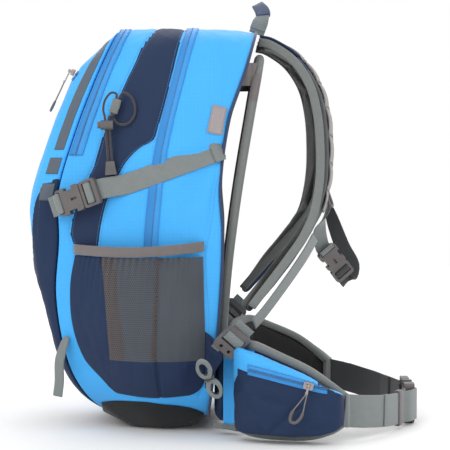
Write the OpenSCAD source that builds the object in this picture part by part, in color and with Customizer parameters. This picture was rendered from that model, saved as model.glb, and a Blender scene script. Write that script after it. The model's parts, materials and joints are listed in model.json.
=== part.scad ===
// Hiking daypack with a tensioned mesh back, shoulder harness and hip belt.
// Frame: origin on the floor under the middle of the base, +X towards the wearer's back,
// +Y towards the wearer's left, +Z up. The wearer's right side is the -Y side.

/* [Bag] */
// Half width of the bag at the back panel
back_half_w = 132; // [124:1:136]
// Half width of the bag at the main zip, its widest place
main_half_w = 140; // [137:1:143]
// Half width of the bag at the front zip
front_half_w = 104; // [98:1:108]

/* [Webbing and clips] */
// Width of the compression and shoulder webbing
strap_w = 25; // [20:1:26]
// Width of the hip belt webbing
belt_w = 40; // [36:1:42]
// Thickness of all webbing
web_t = 1.6; // [1.2:0.1:2]

/* [Harness] */
// Thickness of the shoulder pads
pad_t = 12; // [8:1:14]
// Width of the shoulder pads at the chest
pad_w = 62; // [52:1:68]
// Diameter of the spring steel frame wire
wire_d = 4; // [3:0.5:5]

/* [Hidden] */
$fn = 48;

sky = [0.16, 0.66, 0.95];
navy = [0.13, 0.18, 0.30];
grey = [0.55, 0.57, 0.56];
plastic = [0.36, 0.33, 0.33];
black = [0.05, 0.05, 0.06];
steel = [0.6, 0.6, 0.62];

gap = 0.35;            // clearance between neighbouring soft solids
ring_n = 32;           // points round each ring of the bag

// ---------------------------------------------------------------- functions
function sgn_pow(v, e) = sign(v) * pow(abs(v), e);
function mix(a, b, t) = a + (b - a) * t;
function unit(v) = v / norm(v);
function span(p, z, i = 0) = i >= len(p) - 2 || z < p[i + 1][0] ? i : span(p, z, i + 1);

// Smooth curve through sorted [key, value] pairs; values may be numbers or vectors.
function curve(p, z) =
    let (
        i = span(p, z),
        a = p[max(i - 1, 0)],
        b = p[i],
        c = p[i + 1],
        d = p[min(i + 2, len(p) - 1)],
        h = c[0] - b[0],
        t = max(0, min(1, (z - b[0]) / h)),
        m = (c[1] - a[1]) / (c[0] - a[0]) * h,
        n = (d[1] - b[1]) / (d[0] - b[0]) * h
    )
    (2 * t * t * t - 3 * t * t + 1) * b[1] + (t * t * t - 2 * t * t + t) * m
    + (3 * t * t - 2 * t * t * t) * c[1] + (t * t * t - t * t) * n;

// The same through plain points, evenly keyed; steps pieces between each two points.
function through(pts, steps) =
    let (keyed = [for (i = [0:len(pts) - 1]) [i, pts[i]]])
    [for (i = [0:(len(pts) - 1) * steps]) curve(keyed, i / steps)];

// Side view lines of the bag: [height, depth] from the floor up.
back_line = [[0, 74], [40, 79], [90, 85], [170, 92], [250, 95], [310, 92], [390, 103], [450, 123],
    [500, 137]];
main_line = [[0, 6], [230, 8], [290, 13], [360, 23], [440, 42], [500, 57]];
zip_line = [[0, -36], [45, -77], [90, -98], [170, -111], [240, -107], [300, -107], [370, -87],
    [440, -61], [500, -36]];
face_line = [[0, -40], [40, -90], [90, -113], [150, -127], [200, -142], [250, -149], [290, -148],
    [350, -132], [400, -115], [450, -89], [480, -69], [500, -48]];

// Ring data by station: 0 is the back panel, 1 the main zip and 2 the front zip.
half_widths = [[0, back_half_w], [1, main_half_w], [2, front_half_w]];
ring_tops = [[0, 499], [1, 504], [2, 504]];
ring_bottoms = [[0, 14], [1, 14], [2, 16]];
squareness = [[0, 5], [1, 4.4], [2, 3.4]];

function depth(s, z) =
    s <= 1 ? mix(curve(back_line, z), curve(main_line, z), s)
    : mix(curve(main_line, z), curve(zip_line, z), s - 1);
function station(x, z) =
    x >= curve(main_line, z)
    ? (curve(back_line, z) - x) / (curve(back_line, z) - curve(main_line, z))
    : 1 + (curve(main_line, z) - x) / (curve(main_line, z) - curve(zip_line, z));

// A point of the bag's surface at station s and angle a, taken in by inset; r shrinks the ring.
function ring_point(s, a, inset = 0, r = 1) =
    let (
        low = curve(ring_bottoms, s) + inset,
        high = curve(ring_tops, s) - inset,
        e = 2 / curve(squareness, s),
        y = (curve(half_widths, s) - inset) * sgn_pow(cos(a), e) * r,
        z = (low + high) / 2 + (high - low) / 2 * sgn_pow(sin(a), e) * r
    )
    [depth(s, z), y, z];

// Half width of the bag's side at a place in the side view.
function side_y(x, z) =
    let (
        s = station(x, z),
        low = curve(ring_bottoms, s),
        high = curve(ring_tops, s),
        n = curve(squareness, s),
        f = min(0.999, abs((z - (low + high) / 2) / ((high - low) / 2)))
    )
    curve(half_widths, s) * pow(1 - pow(f, n), 1 / n);

// ---------------------------------------------------------------- general shapes
// Solid through rings of equal length, closed at each end by a flat fan, or by a strip from
// the ring's first half to its second where the ring is thin and bent.
module loft(rings, thin = false) {
    n = len(rings[0]);
    m = len(rings);
    q = (m - 1) * n;
    ends = [for (k = [0, m - 1]) [for (j = [0:2]) mix_mean(rings[k], j)]];
    walls = [for (i = [0:m - 2], j = [0:n - 1], k = [0, 1])
        let (a = i * n + j, b = i * n + (j + 1) % n)
        k == 0 ? [a, a + n, b] : [b, a + n, b + n]];
    strip = [for (j = [0:n / 2 - 2], k = [0, 1])
        k == 0 ? [j, j + 1, n - 1 - j] : [j + 1, n - 2 - j, n - 1 - j]];
    first = thin ? strip : [for (j = [0:n - 1]) [m * n, j, (j + 1) % n]];
    last = thin ? [for (t = strip) [q + t[0], q + t[2], q + t[1]]]
        : [for (j = [0:n - 1]) [m * n + 1, q + (j + 1) % n, q + j]];
    polyhedron(points = concat([for (r = rings, p = r) p], thin ? [] : ends),
        faces = concat(walls, first, last));
}
function mix_mean(ring, j) = [for (p = ring) p[j]] * [for (p = ring) 1] / len(ring);

// Direction of a path at point i.
function along(path, i) = unit(path[min(i + 1, len(path) - 1)] - path[max(i - 1, 0)]);
// Closest direction to w that is square to the path.
function square_to(w, t) = unit(w - (w * t) * t);

// Flat strap with rounded edges along a path. across holds the width direction at each point,
// or one direction for all; widths is one width or one per point; lift moves it off the path.
module ribbon(path, across, widths, thick, lift = 0) {
    loft([for (i = [0:len(path) - 1])
        let (
            t = along(path, i),
            w = square_to(is_list(across[0]) ? across[i] : across, t),
            n = cross(t, w),
            half = (is_list(widths) ? widths[i] : widths) / 2,
            e = thick * 0.35
        )
        [for (c = [[-1, -1], [-1, 1], [1, 1], [1, -1]], k = [0, 1])
            let (soft = (c[0] == c[1]) == (k == 1))
            path[i] + w * c[0] * (half - (soft ? 0 : e))
                + n * (lift + c[1] * (thick / 2 - (soft ? e : 0)))]]);
}

// Round cord or tube along a path.
module tube(path, r, sides = 8) {
    loft([for (i = [0:len(path) - 1])
        let (
            t = along(path, i),
            u = square_to(abs(t[1]) > 0.9 ? [1, 0, 0] : [0, 1, 0], t),
            v = cross(t, u)
        )
        [for (k = [0:sides - 1]) path[i] + r * (cos(k * 360 / sides) * u + sin(k * 360 / sides) * v)]]);
}

// Puts a child whose own axes are x, y and z at a place, with x along a and z nearest to up.
module placed(at, a, up) {
    x = unit(a);
    z = square_to(up, x);
    y = cross(z, x);
    multmatrix([
        [x[0], y[0], z[0], at[0]],
        [x[1], y[1], z[1], at[1]],
        [x[2], y[2], z[2], at[2]],
        [0, 0, 0, 1],
    ]) children();
}
module both_sides() {
    children();
    mirror([0, 1, 0]) children();
}
module rounded(size, r, t) {
    linear_extrude(t, center = true) {
        square([size[0] - 2 * r, size[1]], center = true);
        square([size[0], size[1] - 2 * r], center = true);
        for (sx = [-1, 1], sy = [-1, 1])
            translate([sx * (size[0] / 2 - r), sy * (size[1] / 2 - r)]) circle(r, $fn = 24);
    }
}

// ---------------------------------------------------------------- bag
// Part of the bag between two stations, each end taken in by inset and its own clearance.
module bag_part(s0, s1, back_gap, front_gap, inset) {
    angles = [for (k = [0:ring_n - 1]) k * 360 / ring_n];
    shares = [0.06, 0.35, 0.7];
    function moved(p, d) = p + [d, 0, 0];
    loft(concat(
        [for (r = shares) [for (a = angles) moved(ring_point(s0, a, inset, r), -back_gap)]],
        [for (i = [0:4]) [for (a = angles)
            moved(ring_point(mix(s0, s1, i / 4), a, inset), mix(-back_gap, front_gap, i / 4))]],
        [for (i = [2:-1:0]) [for (a = angles) moved(ring_point(s1, a, inset, shares[i]), front_gap)]]
    ));
}
module main_compartment() color(sky) bag_part(0, 1, 0, 2, 0);
module front_compartment() color(navy) bag_part(1, 2, 0, gap, 0);
// Front pocket: concentric rings, from the front zip out over a rounded edge to the face.
function face_point(a, r, bulge) =
    let (p = ring_point(2, a, 4, r))
    [mix(curve(zip_line, p[2]) - 3, curve(face_line, p[2]), bulge), p[1], p[2]];
face_rims = [[1, 0.02], [0.99, 0.3], [0.95, 0.62], [0.88, 0.85], [0.7, 0.98], [0.35, 1], [0.06, 1]];
module front_pocket() color(sky) {
    angles = [for (k = [0:ring_n - 1]) k * 360 / ring_n];
    rims = concat([[0.06, 0], [0.35, 0], [0.7, 0]], face_rims);
    loft([for (rim = rims) [for (a = angles) face_point(a, rim[0], rim[1])]]);
}
// Height of the bag's underside at a place, found by stepping towards its true station.
function under(x, y, z = 20, again = 4) =
    let (
        s = max(0, min(2, station(x, z))),
        low = curve(ring_bottoms, s),
        half = (curve(ring_tops, s) - low) / 2,
        n = curve(squareness, s),
        here = low + half - half * pow(1 - pow(min(0.99, abs(y) / curve(half_widths, s)), n), 1 / n)
    )
    again == 0 ? here : under(x, y, (here + z) / 2, again - 1);
// Tough fabric bowl under the bag, flat on the floor in the middle and thin at its rim.
base_x = [-56, 70];
base_reach = 0.81;       // how far across the bag the bowl reaches
base_t = 17;
module base_panel() color(black) {
    steps = 14;
    loft([for (i = [0:steps])
        let (
            x = mix(base_x[0], base_x[1], i / steps),
            u = abs(2 * i / steps - 1),
            w = base_reach * curve(half_widths, station(x, 20))
        )
        concat(
            [for (v = [-1:0.125:1]) [x, v * w, under(x, v * w) - 1.8]],
            [for (v = [1:-0.125:-1])
                let (t = mix(1.5, base_t, min(1, 3 * (1 - abs(v)), 4 * (1 - u))))
                [x, v * w, max(0, under(x, v * w) - 1.8 - t)]]
        )], thin = true);
}

// Band round the bag at a station, standing just off its surface from angle a0 to a1. Its
// edges lie at the stations back and front, and drop moves the front edge further out.
ring_step = 360 / ring_n;
module zip_band(s, back, front, drop, a0, a1)
    loft([for (a = [a0:ring_step:a1])
        let (
            far = [for (h = [0.7, 1.9]) ring_point(back, a, -h)],
            mid = [for (h = [0.7, 1.9]) ring_point(s, a, -h)],
            near = [for (h = [0.7, 1.9]) ring_point(front, a, -h) - [drop, 0, 0]]
        )
        [far[0], mid[0], near[0], near[1], mid[1], far[1]]], thin = true);

pocket_zip_z = 447;
function face_x(y, z) =
    let (r = pow(pow(abs(y) / (front_half_w - 4), 3.4) + pow(abs(z - 260) / 240, 3.4), 1 / 3.4))
    mix(curve(zip_line, z) - 3, curve(face_line, z), lookup(r, face_rims));
module zip_tapes() color(sky * 0.85) {
    zip_band(1, 0.91, 1.07, 0, -2 * ring_step, 180 + 2 * ring_step);
    zip_band(2, 1.95, 2, 6, ring_step, 180 - ring_step);
    ribbon([for (y = [-66:12:66]) [face_x(y, pocket_zip_z) - 2.2, y, pocket_zip_z]], [0.4, 0, 0.9], 13, 1.2);
}

// ---------------------------------------------------------------- side pockets
pocket_x0 = -88;
pocket_x1 = 72;
pocket_z0 = 46;
pocket_z1 = 222;
pocket_bulge = 24;
function pocket_y(u, v) =
    let (x = mix(pocket_x0, pocket_x1, u), z = mix(pocket_z0, pocket_z1, v))
    side_y(x, z) + 1.2 + pocket_bulge * pow(sin(180 * u), 0.7) * pow(min(1, v * 2.2), 0.6);
module side_pocket() color(navy) {
    across = 14;
    up = 8;
    loft([for (i = [0:across])
        let (u = i / across, x = mix(pocket_x0, pocket_x1, u))
        concat(
            [for (k = [0:up]) [x, -pocket_y(u, k / up), mix(pocket_z0, pocket_z1, k / up)]],
            [for (k = [up:-1:0]) [x, -pocket_y(u, k / up) - 1.6, mix(pocket_z0, pocket_z1, k / up)]]
        )], thin = true);
}
module side_pocket_right() side_pocket();
module side_pocket_left() mirror([0, 1, 0]) side_pocket();
module pocket_hems() color(plastic) both_sides()
    ribbon([for (i = [0:14])
        let (u = i / 14, x = mix(pocket_x0, pocket_x1, u))
        [x, -pocket_y(u, 1) - 0.8, pocket_z1 + 10.2 - 3 * sin(180 * u)]], [0, 0, 1], 13, 3.4);

// ---------------------------------------------------------------- trim
module on_side(x, z, lift) translate([x, -side_y(x, z) - lift, z]) children();
module side_label() color(grey)
    on_side(88, 388, 3.2) rotate([90, 0, 0]) rotate(12) rounded([18, 34], 1, 1);
// Bars on the front pocket's rounded edge: [upper height, lower height, width].
bar_rows = [[488, 352, 13], [342, 322, 16], [310, 289, 16]];
function edge_point(z, lift) =
    let (
        half = (curve(ring_tops, 2) - curve(ring_bottoms, 2)) / 2 - 4,
        f = (z - half - curve(ring_bottoms, 2) - 4) / half / 0.977,
        y = (front_half_w - 4) * 0.977 * pow(1 - pow(abs(f), 3.4), 1 / 3.4)
    )
    [mix(curve(zip_line, z) - 3, curve(face_line, z), 0.4) - lift / 3, -y - lift, z];
module reflective_bars() color([0.3, 0.34, 0.4]) both_sides()
    for (b = bar_rows)
        ribbon([for (t = [0:0.125:1]) let (z = mix(b[0], b[1], t)) edge_point(z, 2.6 + max(0, z - 462) * 0.2)],
            [0.93, -0.37, 0], b[2], 1);
module ice_axe_loops() color(grey) both_sides()
    ribbon(through([[-97, -106, 120], [-100, -107, 112], [-106, -107, 90], [-109, -103, 46]], 3),
        [1, -0.3, 0], 12, 3);

// ---------------------------------------------------------------- side-release clips
// Own axes: the plug leaves the socket along x, y is the width and z is the face.
function clip_scale(w) = (w + 15) / 40;
module clip_socket(w) {
    k = clip_scale(w);
    side = w / 2 + 4 * k;
    hole = w / 2 - 0.8 * k;
    difference() {
        translate([-1.5 * k, 0, 0]) rounded([33 * k, 2 * side], 4 * k, 9.4 * k);
        translate([4 * k, 0, 0]) cube([24 * k, 2 * hole, 5.2 * k], center = true);
        for (s = [-1, 1]) translate([0, s * (side - k), 0]) cube([11 * k, 6 * k, 12 * k], center = true);
        translate([-13.6 * k, 0, 0]) cube([3.2 * k, w + 1.6, 12 * k], center = true);
        translate([5 * k, 0, 4 * k]) cube([8 * k, 3 * k, 6 * k], center = true);
    }
}
module clip_plug(w) {
    k = clip_scale(w);
    side = w / 2 + 4 * k;
    hole = w / 2 - 0.8 * k;
    difference() {
        translate([26.4 * k, 0, 0]) rounded([22 * k, 2 * side], 3.5 * k, 7 * k);
        for (x = [21.4, 30.4]) translate([x * k, 0, 0]) cube([3.8 * k, w + 1.6, 12 * k], center = true);
    }
    for (s = [-1, 1]) {
        translate([4.5 * k, s * (hole - 3.5 * k), 0]) cube([22 * k, 4.4 * k, 4 * k], center = true);
        translate([-3.5 * k, s * (hole - 2.4 * k), 0]) cube([6 * k, 3.6 * k, 4 * k], center = true);
    }
    translate([6.5 * k, 0, 0]) cube([18 * k, 4 * k, 4 * k], center = true);
}
// Webbing routes in the clip's own x and z: round the socket's bar, and laced through the plug.
socket_lace = [[-30, -3.6], [-23, -5], [-17, -6], [-14.3, -5.7], [-13.6, -2], [-13.6, 2], [-14.3, 5.7],
    [-17, 6], [-20.5, 4.4], [-22.5, 0], [-25.5, -1.6], [-31, -1.2]];
plug_lace = [[52, -4.8], [42, -5.1], [34.5, -5.1], [31.5, -4.3], [30.4, 0], [29.3, 4.3], [27.4, 5.2],
    [24.4, 5.2], [22.5, 4.3], [21.4, 0], [20.3, -4.3], [18, -5.3], [10, -6.6]];

// A place with its own axes: [origin, x, y, z].
function frame_of(at, a, up) = let (x = unit(a), z = square_to(up, x)) [at, x, cross(z, x), z];
function in_frame(f, p) = f[0] + p[0] * f[1] + p[1] * f[2] + p[2] * f[3];
function laced(f, w, route, a, b) =
    [for (i = [a:b]) in_frame(f, clip_scale(w) * [route[i][0], 0, route[i][1]])];
module at_frame(f) placed(f[0], f[1], f[3]) children();

// Compression straps: from the back seam down to a clip on the bag's front corner.
strap_top = [91, 351];
strap_low = [-22, 310];
clip_frame = frame_of([-89, -125, 291], [0.86, -0.34, 0.33], [-0.35, -0.93, 0]);
function strap_point(t) =
    let (x = mix(strap_top[0], strap_low[0], t), z = mix(strap_top[1], strap_low[1], t))
    [x, -side_y(x, z) - 3.3, z];
module compression_strap() color(grey)
    ribbon(concat([for (t = [0:0.125:1]) strap_point(t)], laced(clip_frame, strap_w, plug_lace, 1, 12)),
        clip_frame[2], strap_w, web_t);
module compression_strap_right() compression_strap();
module compression_strap_left() mirror([0, 1, 0]) compression_strap();
module compression_sockets() color(plastic) both_sides() at_frame(clip_frame) clip_socket(strap_w);
module compression_plug_right() color(plastic) at_frame(clip_frame) clip_plug(strap_w);
module compression_plug_left() mirror([0, 1, 0]) compression_plug_right();
module compression_anchors() color(grey) both_sides()
    ribbon(laced(clip_frame, strap_w, socket_lace, 0, 11), clip_frame[2], strap_w, web_t);

// ---------------------------------------------------------------- pole holder
cord_d = 2.8;
lock_run = unit([4, -2, -53]);        // straight run of the two cord strands
strand_a = [-48, -130, 391];
strand_b = [-43.4, -130, 391];
tab_frame = frame_of([-35.5, -125.6, 405], [0.3, 0, 0.95], [0, -1, 0]);
module pole_tab() color(grey) at_frame(tab_frame) difference() {
    rounded([18, 11], 2, 7);
    cube([30, 8.2, 4.4], center = true);
}
// Route of the elastic cord, from its end clamp up, twice through the tab, and back down.
cord_route = [
    strand_a + 53 * lock_run, strand_a + 40 * lock_run, strand_a + 22 * lock_run,
    strand_a + 10 * lock_run, strand_a,
    [-50, -129, 401], [-48, -128, 412], [-41, -127, 421], [-34.5, -126, 420], [-34.3, -125.6, 414],
    [-37.2, -125.6, 405], [-40, -125.6, 396], [-38.4, -125.8, 390.5], [-31, -128.5, 383],
    [-20, -130, 384], [-12, -130.5, 394], [-12, -130, 408], [-18, -129, 418], [-26, -127, 421],
    [-30.7, -125.8, 415], [-33.8, -125.6, 405], [-36.4, -126, 397], [-39.6, -129.3, 393.5],
    strand_b, strand_b + 10 * lock_run, strand_b + 22 * lock_run, strand_b + 40 * lock_run,
    strand_b + 53 * lock_run,
];
module bungee_cord() color(plastic) tube(through(cord_route, 3), cord_d / 2);
lock_at = strand_a + [2.3, 0, 0] + 9 * lock_run;
module at_lock() placed(lock_at, [-1, 0, 0], lock_run) children();
module cord_lock_body() color(plastic) at_lock() difference() {
    union() {
        translate([-7, 0, 0]) rotate([0, 90, 0]) cylinder(r = 5.8, h = 15);
        translate([-7, 0, 0]) rotate([0, 90, 0]) cylinder(r1 = 5, r2 = 6.2, h = 6);
    }
    for (s = [-1, 1]) translate([s * 2.3, 0, 0]) cylinder(r = 2.05, h = 20, center = true);
    translate([4.9, 0, 0]) rotate([0, 90, 0]) cylinder(r = 4.6, h = 5);
}
module cord_lock_button() color([0.25, 0.24, 0.25]) at_lock()
    translate([7.4, 0, 0]) rotate([0, 90, 0]) cylinder(r = 4.2, h = 4.4);
module cord_end() color([0.3, 0.3, 0.31])
    placed(strand_a + [2.3, 0, 0] + 61.5 * lock_run, lock_run, [0, -1, 0])
        hull() {
            translate([-8, 0, 0]) cube([0.4, 10, 6], center = true);
            translate([8, 0, 0]) cube([0.4, 14, 8], center = true);
        }

// ---------------------------------------------------------------- back system
// Side view line of the tensioned mesh: [height, depth].
mesh_line = [[92, 95], [130, 95.5], [180, 99], [230, 104], [310, 115], [400, 130], [462, 141]];
mesh_half_w = 108;
mesh_low = 122;
wire_low = 98;          // the wire ends stand in the lumbar pad
mesh_high = 460;
module back_mesh() color([0.2, 0.2, 0.22]) intersection() {
    translate([0, mesh_half_w, 0]) rotate([90, 0, 0]) linear_extrude(2 * mesh_half_w)
        polygon(concat(
            [for (z = [mesh_low:20:mesh_high]) [curve(mesh_line, z) - 1, z]],
            [for (z = [mesh_high:-20:mesh_low]) [curve(mesh_line, z) + 1, z]]));
    translate([115, 0, (mesh_low + mesh_high) / 2]) rotate([0, 90, 0])
        rounded([mesh_high - mesh_low, 2 * mesh_half_w], 40, 200);
}
// The frame wire: up one side, over the top and down the other.
function frame_path(out, low) =
    let (w = mesh_half_w + out, r = 44, top = mesh_high + out)
    concat(
        [for (i = [0:12]) let (z = mix(low, top - r - 6, i / 12)) [curve(mesh_line, z), -w, z]],
        [for (a = [0:15:90]) let (z = top - r + r * sin(a)) [curve(mesh_line, z), -w + r - r * cos(a), z]],
        [for (y = [-w + r + 20:24:w - r - 20]) [curve(mesh_line, top), y, top]],
        [for (a = [90:-15:0]) let (z = top - r + r * sin(a)) [curve(mesh_line, z), w - r + r * cos(a), z]],
        [for (i = [12:-1:0]) let (z = mix(low, top - r - 6, i / 12)) [curve(mesh_line, z), w, z]]
    );
wire_out = 4.8;         // how far outside the mesh the wire runs
module frame_wire() color(steel) tube(frame_path(wire_out, wire_low), wire_d / 2);
module frame_sleeve() color(grey) difference() {
    tube(frame_path(wire_out, mesh_low), 4.3);
    tube(frame_path(wire_out, wire_low), wire_d / 2 + 0.5);
}
module lumbar_pad() color(black) difference() {
    translate([95, 0, 62]) rotate([0, 90, 0]) rounded([112, 2 * mesh_half_w + 24], 22, 13);
    for (s = [-1, 1]) translate([curve(mesh_line, 108), s * (mesh_half_w + wire_out), wire_low - 2])
        cylinder(d = wire_d + 1, h = 40);
}
// Gussets that tie the bag's top corners to the frame.
module corner_wings() color(grey) both_sides() loft([
    for (z = [398, 420, 440, 456])
    let (x0 = curve(back_line, z) + 2.4, x1 = curve(mesh_line, z) - 5.2)
    [[x0, -112, z], [x0, -109, z], [x1, -109, z], [x1, -112, z]]
]);
module haul_loop() color(navy)
    ribbon(through([[139, -38, 505], [144, -36, 516], [147, -28, 526], [142, -12, 535], [140, 0, 537],
        [142, 12, 535], [147, 28, 526], [144, 36, 516], [139, 38, 505]], 3), [1, 0, 0.5], 20, 5);

// ---------------------------------------------------------------- shoulder harness
pad_route = [
    [142, -50, 486], [160, -54, 481], [188, -60, 462], [209, -68, 432], [219, -77, 396], [222, -85, 355],
    [220, -92, 315], [211, -99, 278], [195, -107, 248], [172, -116, 218], [146, -125, 186], [122, -132, 156],
];
pad_widths = [for (i = [0:(len(pad_route) - 1) * 2]) curve([[0, 46], [6, pad_w], [13, pad_w], [22, 38]], i)];
pad_across = [for (i = [0:(len(pad_route) - 1) * 2])
    curve([[0, [0.1, 1, 0]], [8, [0.25, 1, 0]], [22, [0.1, 1, 0.35]]], i)];
pad_path = through(pad_route, 2);
module shoulder_pad() color(grey) ribbon(pad_path, pad_across, pad_widths, pad_t);
module shoulder_pad_right() shoulder_pad();
module shoulder_pad_left() mirror([0, 1, 0]) shoulder_pad();
function part_of(list, a, b) = [for (i = [a:b]) list[i]];
adjuster_route = [[219, -103, 261], [204, -111, 234], [177, -124, 195], [150, -138, 160], [133, -148, 141]];
module strap_webbings() color([0.6, 0.55, 0.53]) both_sides() {
    ribbon(part_of(pad_path, 2, 14), part_of(pad_across, 2, 14), strap_w - 5, 2.4, pad_t / 2 + 2.1);
    ribbon(through(adjuster_route, 3), [0.3, 1, 0.5], strap_w, web_t);
}
lock_axis = unit([0.6, -0.24, 0.62]);
module ladder_lock() difference() {
    rounded([36, 32], 5, 6);
    for (x = [-2, 9]) translate([x, 0, 0]) cube([5, 25.6, 10], center = true);
    for (s = [-1, 1]) translate([-12, s * 6, 0]) cube([4, 4, 10], center = true);
}
module ladder_locks() color(plastic) both_sides()
    placed([106, -156, 121], lock_axis, [0.2, -1, 0]) ladder_lock();
module strap_anchors() color(navy) both_sides() loft([
    for (t = [0:0.25:1])
    let (x = mix(76, 93.5, t), low = mix(62, 98, t), high = mix(128, 112, t), y = mix(-137, -147.5, t))
    [[x, y - 1, low], [x, y + 1, low], [x, y + 1, high], [x, y - 1, high]]
]);
// The spare shoulder webbing, rolled in a figure of eight.
module webbing_rolls() color(grey) both_sides() placed([79, -172, 78], [0.5, 0, -0.86], [0, -1, 0])
    for (s = [-1, 1]) translate([s * 13.5, 0, 0]) difference() {
        rounded([26, 19], 9, strap_w - 4);
        rounded([14, 7], 3.4, strap_w);
    }

// ---------------------------------------------------------------- hip belt
// Plan of a fin: [x, y] with its lower and upper edges.
fin_plan = [
    [109, -92, 12, 112], [116, -124, 8, 118], [134, -150, 4, 120], [165, -162, 2, 108],
    [200, -168, 3, 92], [226, -168, 10, 74], [246, -160, 22, 58],
];
fin_t = 13;
fin_rows = through(fin_plan, 2);
function fin_dir(i) = unit([
    fin_rows[min(i + 1, len(fin_rows) - 1)][0] - fin_rows[max(i - 1, 0)][0],
    fin_rows[min(i + 1, len(fin_rows) - 1)][1] - fin_rows[max(i - 1, 0)][1],
]);
module fin_slab(i0, i1, low, high, cut_low, cut_high) {
    loft([for (i = [i0:i1])
        let (
            f = fin_rows[i],
            d = fin_dir(i),
            out = [d[1], -d[0]],
            z0 = f[2] + cut_low,
            z1 = f[3] - cut_high,
            e = min(4, (high - low) * 0.35)
        )
        [for (q = [[low, z0 + e], [low, z1 - e], [low + e, z1], [high - e, z1],
            [high, z1 - e], [high, z0 + e], [high - e, z0], [low + e, z0]])
            [f[0] + out[0] * q[0], f[1] + out[1] * q[0], q[1]]]]);
}
module hip_fin() color([0.2, 0.2, 0.22]) fin_slab(0, 12, -fin_t / 2, fin_t / 2, 0, 0);
module hip_fin_right() hip_fin();
module hip_fin_left() mirror([0, 1, 0]) hip_fin();
pocket_face = 30;          // how far the pocket's face stands out from the fin's middle
module hip_pocket() color(navy) fin_slab(4, 11, fin_t / 2 + gap, pocket_face, 5, 5);
module hip_pocket_right() hip_pocket();
module hip_pocket_left() mirror([0, 1, 0]) hip_pocket();
function fin_point(i, out, z) =
    let (d = fin_dir(i)) [fin_rows[i][0] + d[1] * out, fin_rows[i][1] - d[0] * out, z];
function hip_zip_z(x) = 94.5 - 0.26 * (x - 120);
module hip_zip_tapes() color(sky * 0.85) both_sides()
    ribbon([for (i = [5:10]) fin_point(i, pocket_face + gap + 0.9, hip_zip_z(fin_rows[i][0]))],
        [0, 0, 1], 13, 1.2);

// Belt webbing from the fin round to the clip in front; the wearer's right side holds the socket.
belt_frame = frame_of([335, -13, 26], [0, 1, 0], [1, 0, 0]);
belt_route = [[247, -158.5, 37], [266, -146, 34], [290, -120, 30], [309, -88, 27], [320, -64, 26]];
belt_tail = [[295, -116, 29.6], [311, -89, 27], [323, -65, 26], [334, -55, 26]];
module hip_webbing_right() color(grey) {
    ribbon(concat(through(belt_route, 2), laced(belt_frame, belt_w, socket_lace, 1, 7), [belt_tail[3]],
        [for (i = [2:-1:0]) belt_tail[i]]), [0, 0, 1], belt_w, web_t);
}
module hip_webbing_left() color(grey)
    ribbon(concat([for (p = through(belt_route, 2)) [p[0], -p[1], p[2]]],
        laced(belt_frame, belt_w, plug_lace, 2, 12)),
        [0, 0, 1], belt_w, web_t);
module hip_socket() color(plastic) at_frame(belt_frame) clip_socket(belt_w);
module hip_plug() color(plastic) at_frame(belt_frame) clip_plug(belt_w);
module hip_keepers() color([0.5, 0.44, 0.43])
    placed([317, -73.4, 26.4], [0.45, 0.89, 0], [0.89, -0.45, 0]) difference() {
        rounded([13, belt_w + 5], 1.5, 8);
        cube([20, belt_w + 1.6, 5.6], center = true);
    }

// ---------------------------------------------------------------- zip sliders and their pulls
// Own axes: x runs along the zip, y is the way the pull hangs and z faces out of the tape.
pin_z = 6.4;
module zip_slider() color(steel) {
    translate([0, 0, 2]) rounded([12, 8.4], 2.4, 3.6);
    for (s = [-1, 1]) translate([s * 3.2, 0, 5.4]) cube([1.4, 4, 5], center = true);
    translate([-3.6, 0, pin_z]) rotate([0, 90, 0]) cylinder(d = 1.6, h = 7.2);
}
// A metal bar on the slider's pin, with a cord loop that ends in a moulded grip.
module zip_pull(bar, grip_at, grip) color(steel) translate([0, 0, pin_z]) {
    difference() {
        union() {
            translate([-1.7, 0, 0]) rotate([0, 90, 0]) cylinder(d = 4.4, h = 3.4);
            translate([0, bar / 2 + 1, 0]) cube([3.4, bar, 1.5], center = true);
        }
        translate([-4, 0, 0]) rotate([0, 90, 0]) cylinder(d = 2.3, h = 8);
    }
    for (s = [-1, 1])
        tube([[s * 0.8, bar - 1, 0], [s * 1.6, bar + 3, 0], [s * grip[0] * 0.3, grip_at + 1, 0]], 0.8, 8);
    translate([0, grip_at + grip[1] / 2, 0]) rounded([grip[0], grip[1]], min(grip) * 0.3, 3.2);
}
hip_i = 8;
hip_zip_run = unit([-35, 3.2, 9]);
hip_slider_frame = frame_of(
    fin_point(hip_i, pocket_face + gap + 2, hip_zip_z(fin_rows[hip_i][0])), hip_zip_run, [0, -1, 0]);
module hip_slider_right() at_frame(hip_slider_frame) zip_slider();
module hip_slider_left() mirror([0, 1, 0]) hip_slider_right();
module hip_pull_right() at_frame(hip_slider_frame) zip_pull(11, 31, [11, 17]);
module hip_pull_left() mirror([0, 1, 0]) hip_pull_right();
// A slider closed on the bag's left side: its pin lies across the zip and the pull hangs down.
function zip_place(s, z) = let (x = depth(s, z)) [x, side_y(x, z), z];
function zip_frame(s, z0, z1, lift) =
    let (
        p = zip_place(s, z0),
        run = unit(zip_place(s, z1) - p),
        level = square_to(zip_place(s - 0.04, z0) - zip_place(s + 0.03, z0), run),
        out = cross(level, run)
    )
    [p + lift * out, level, run, out];
main_frame = zip_frame(0.99, 395, 350, 2.7);
front_frame = zip_frame(1.96, 430, 392, 3.4);
module main_slider() at_frame(main_frame) zip_slider();
module main_pull() at_frame(main_frame) zip_pull(14, 26, [7, 16]);
module front_slider() at_frame(front_frame) zip_slider();
module front_pull() at_frame(front_frame) zip_pull(14, 26, [7, 16]);
pocket_frame = frame_of([face_x(0, pocket_zip_z) - 3.3, -54, pocket_zip_z + 1], [0, 1, 0], [-0.9, 0, 0.44]);
module pocket_slider() at_frame(pocket_frame) zip_slider();
module pocket_pull() at_frame(pocket_frame) zip_pull(16, 42, [7, 15]);

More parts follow.
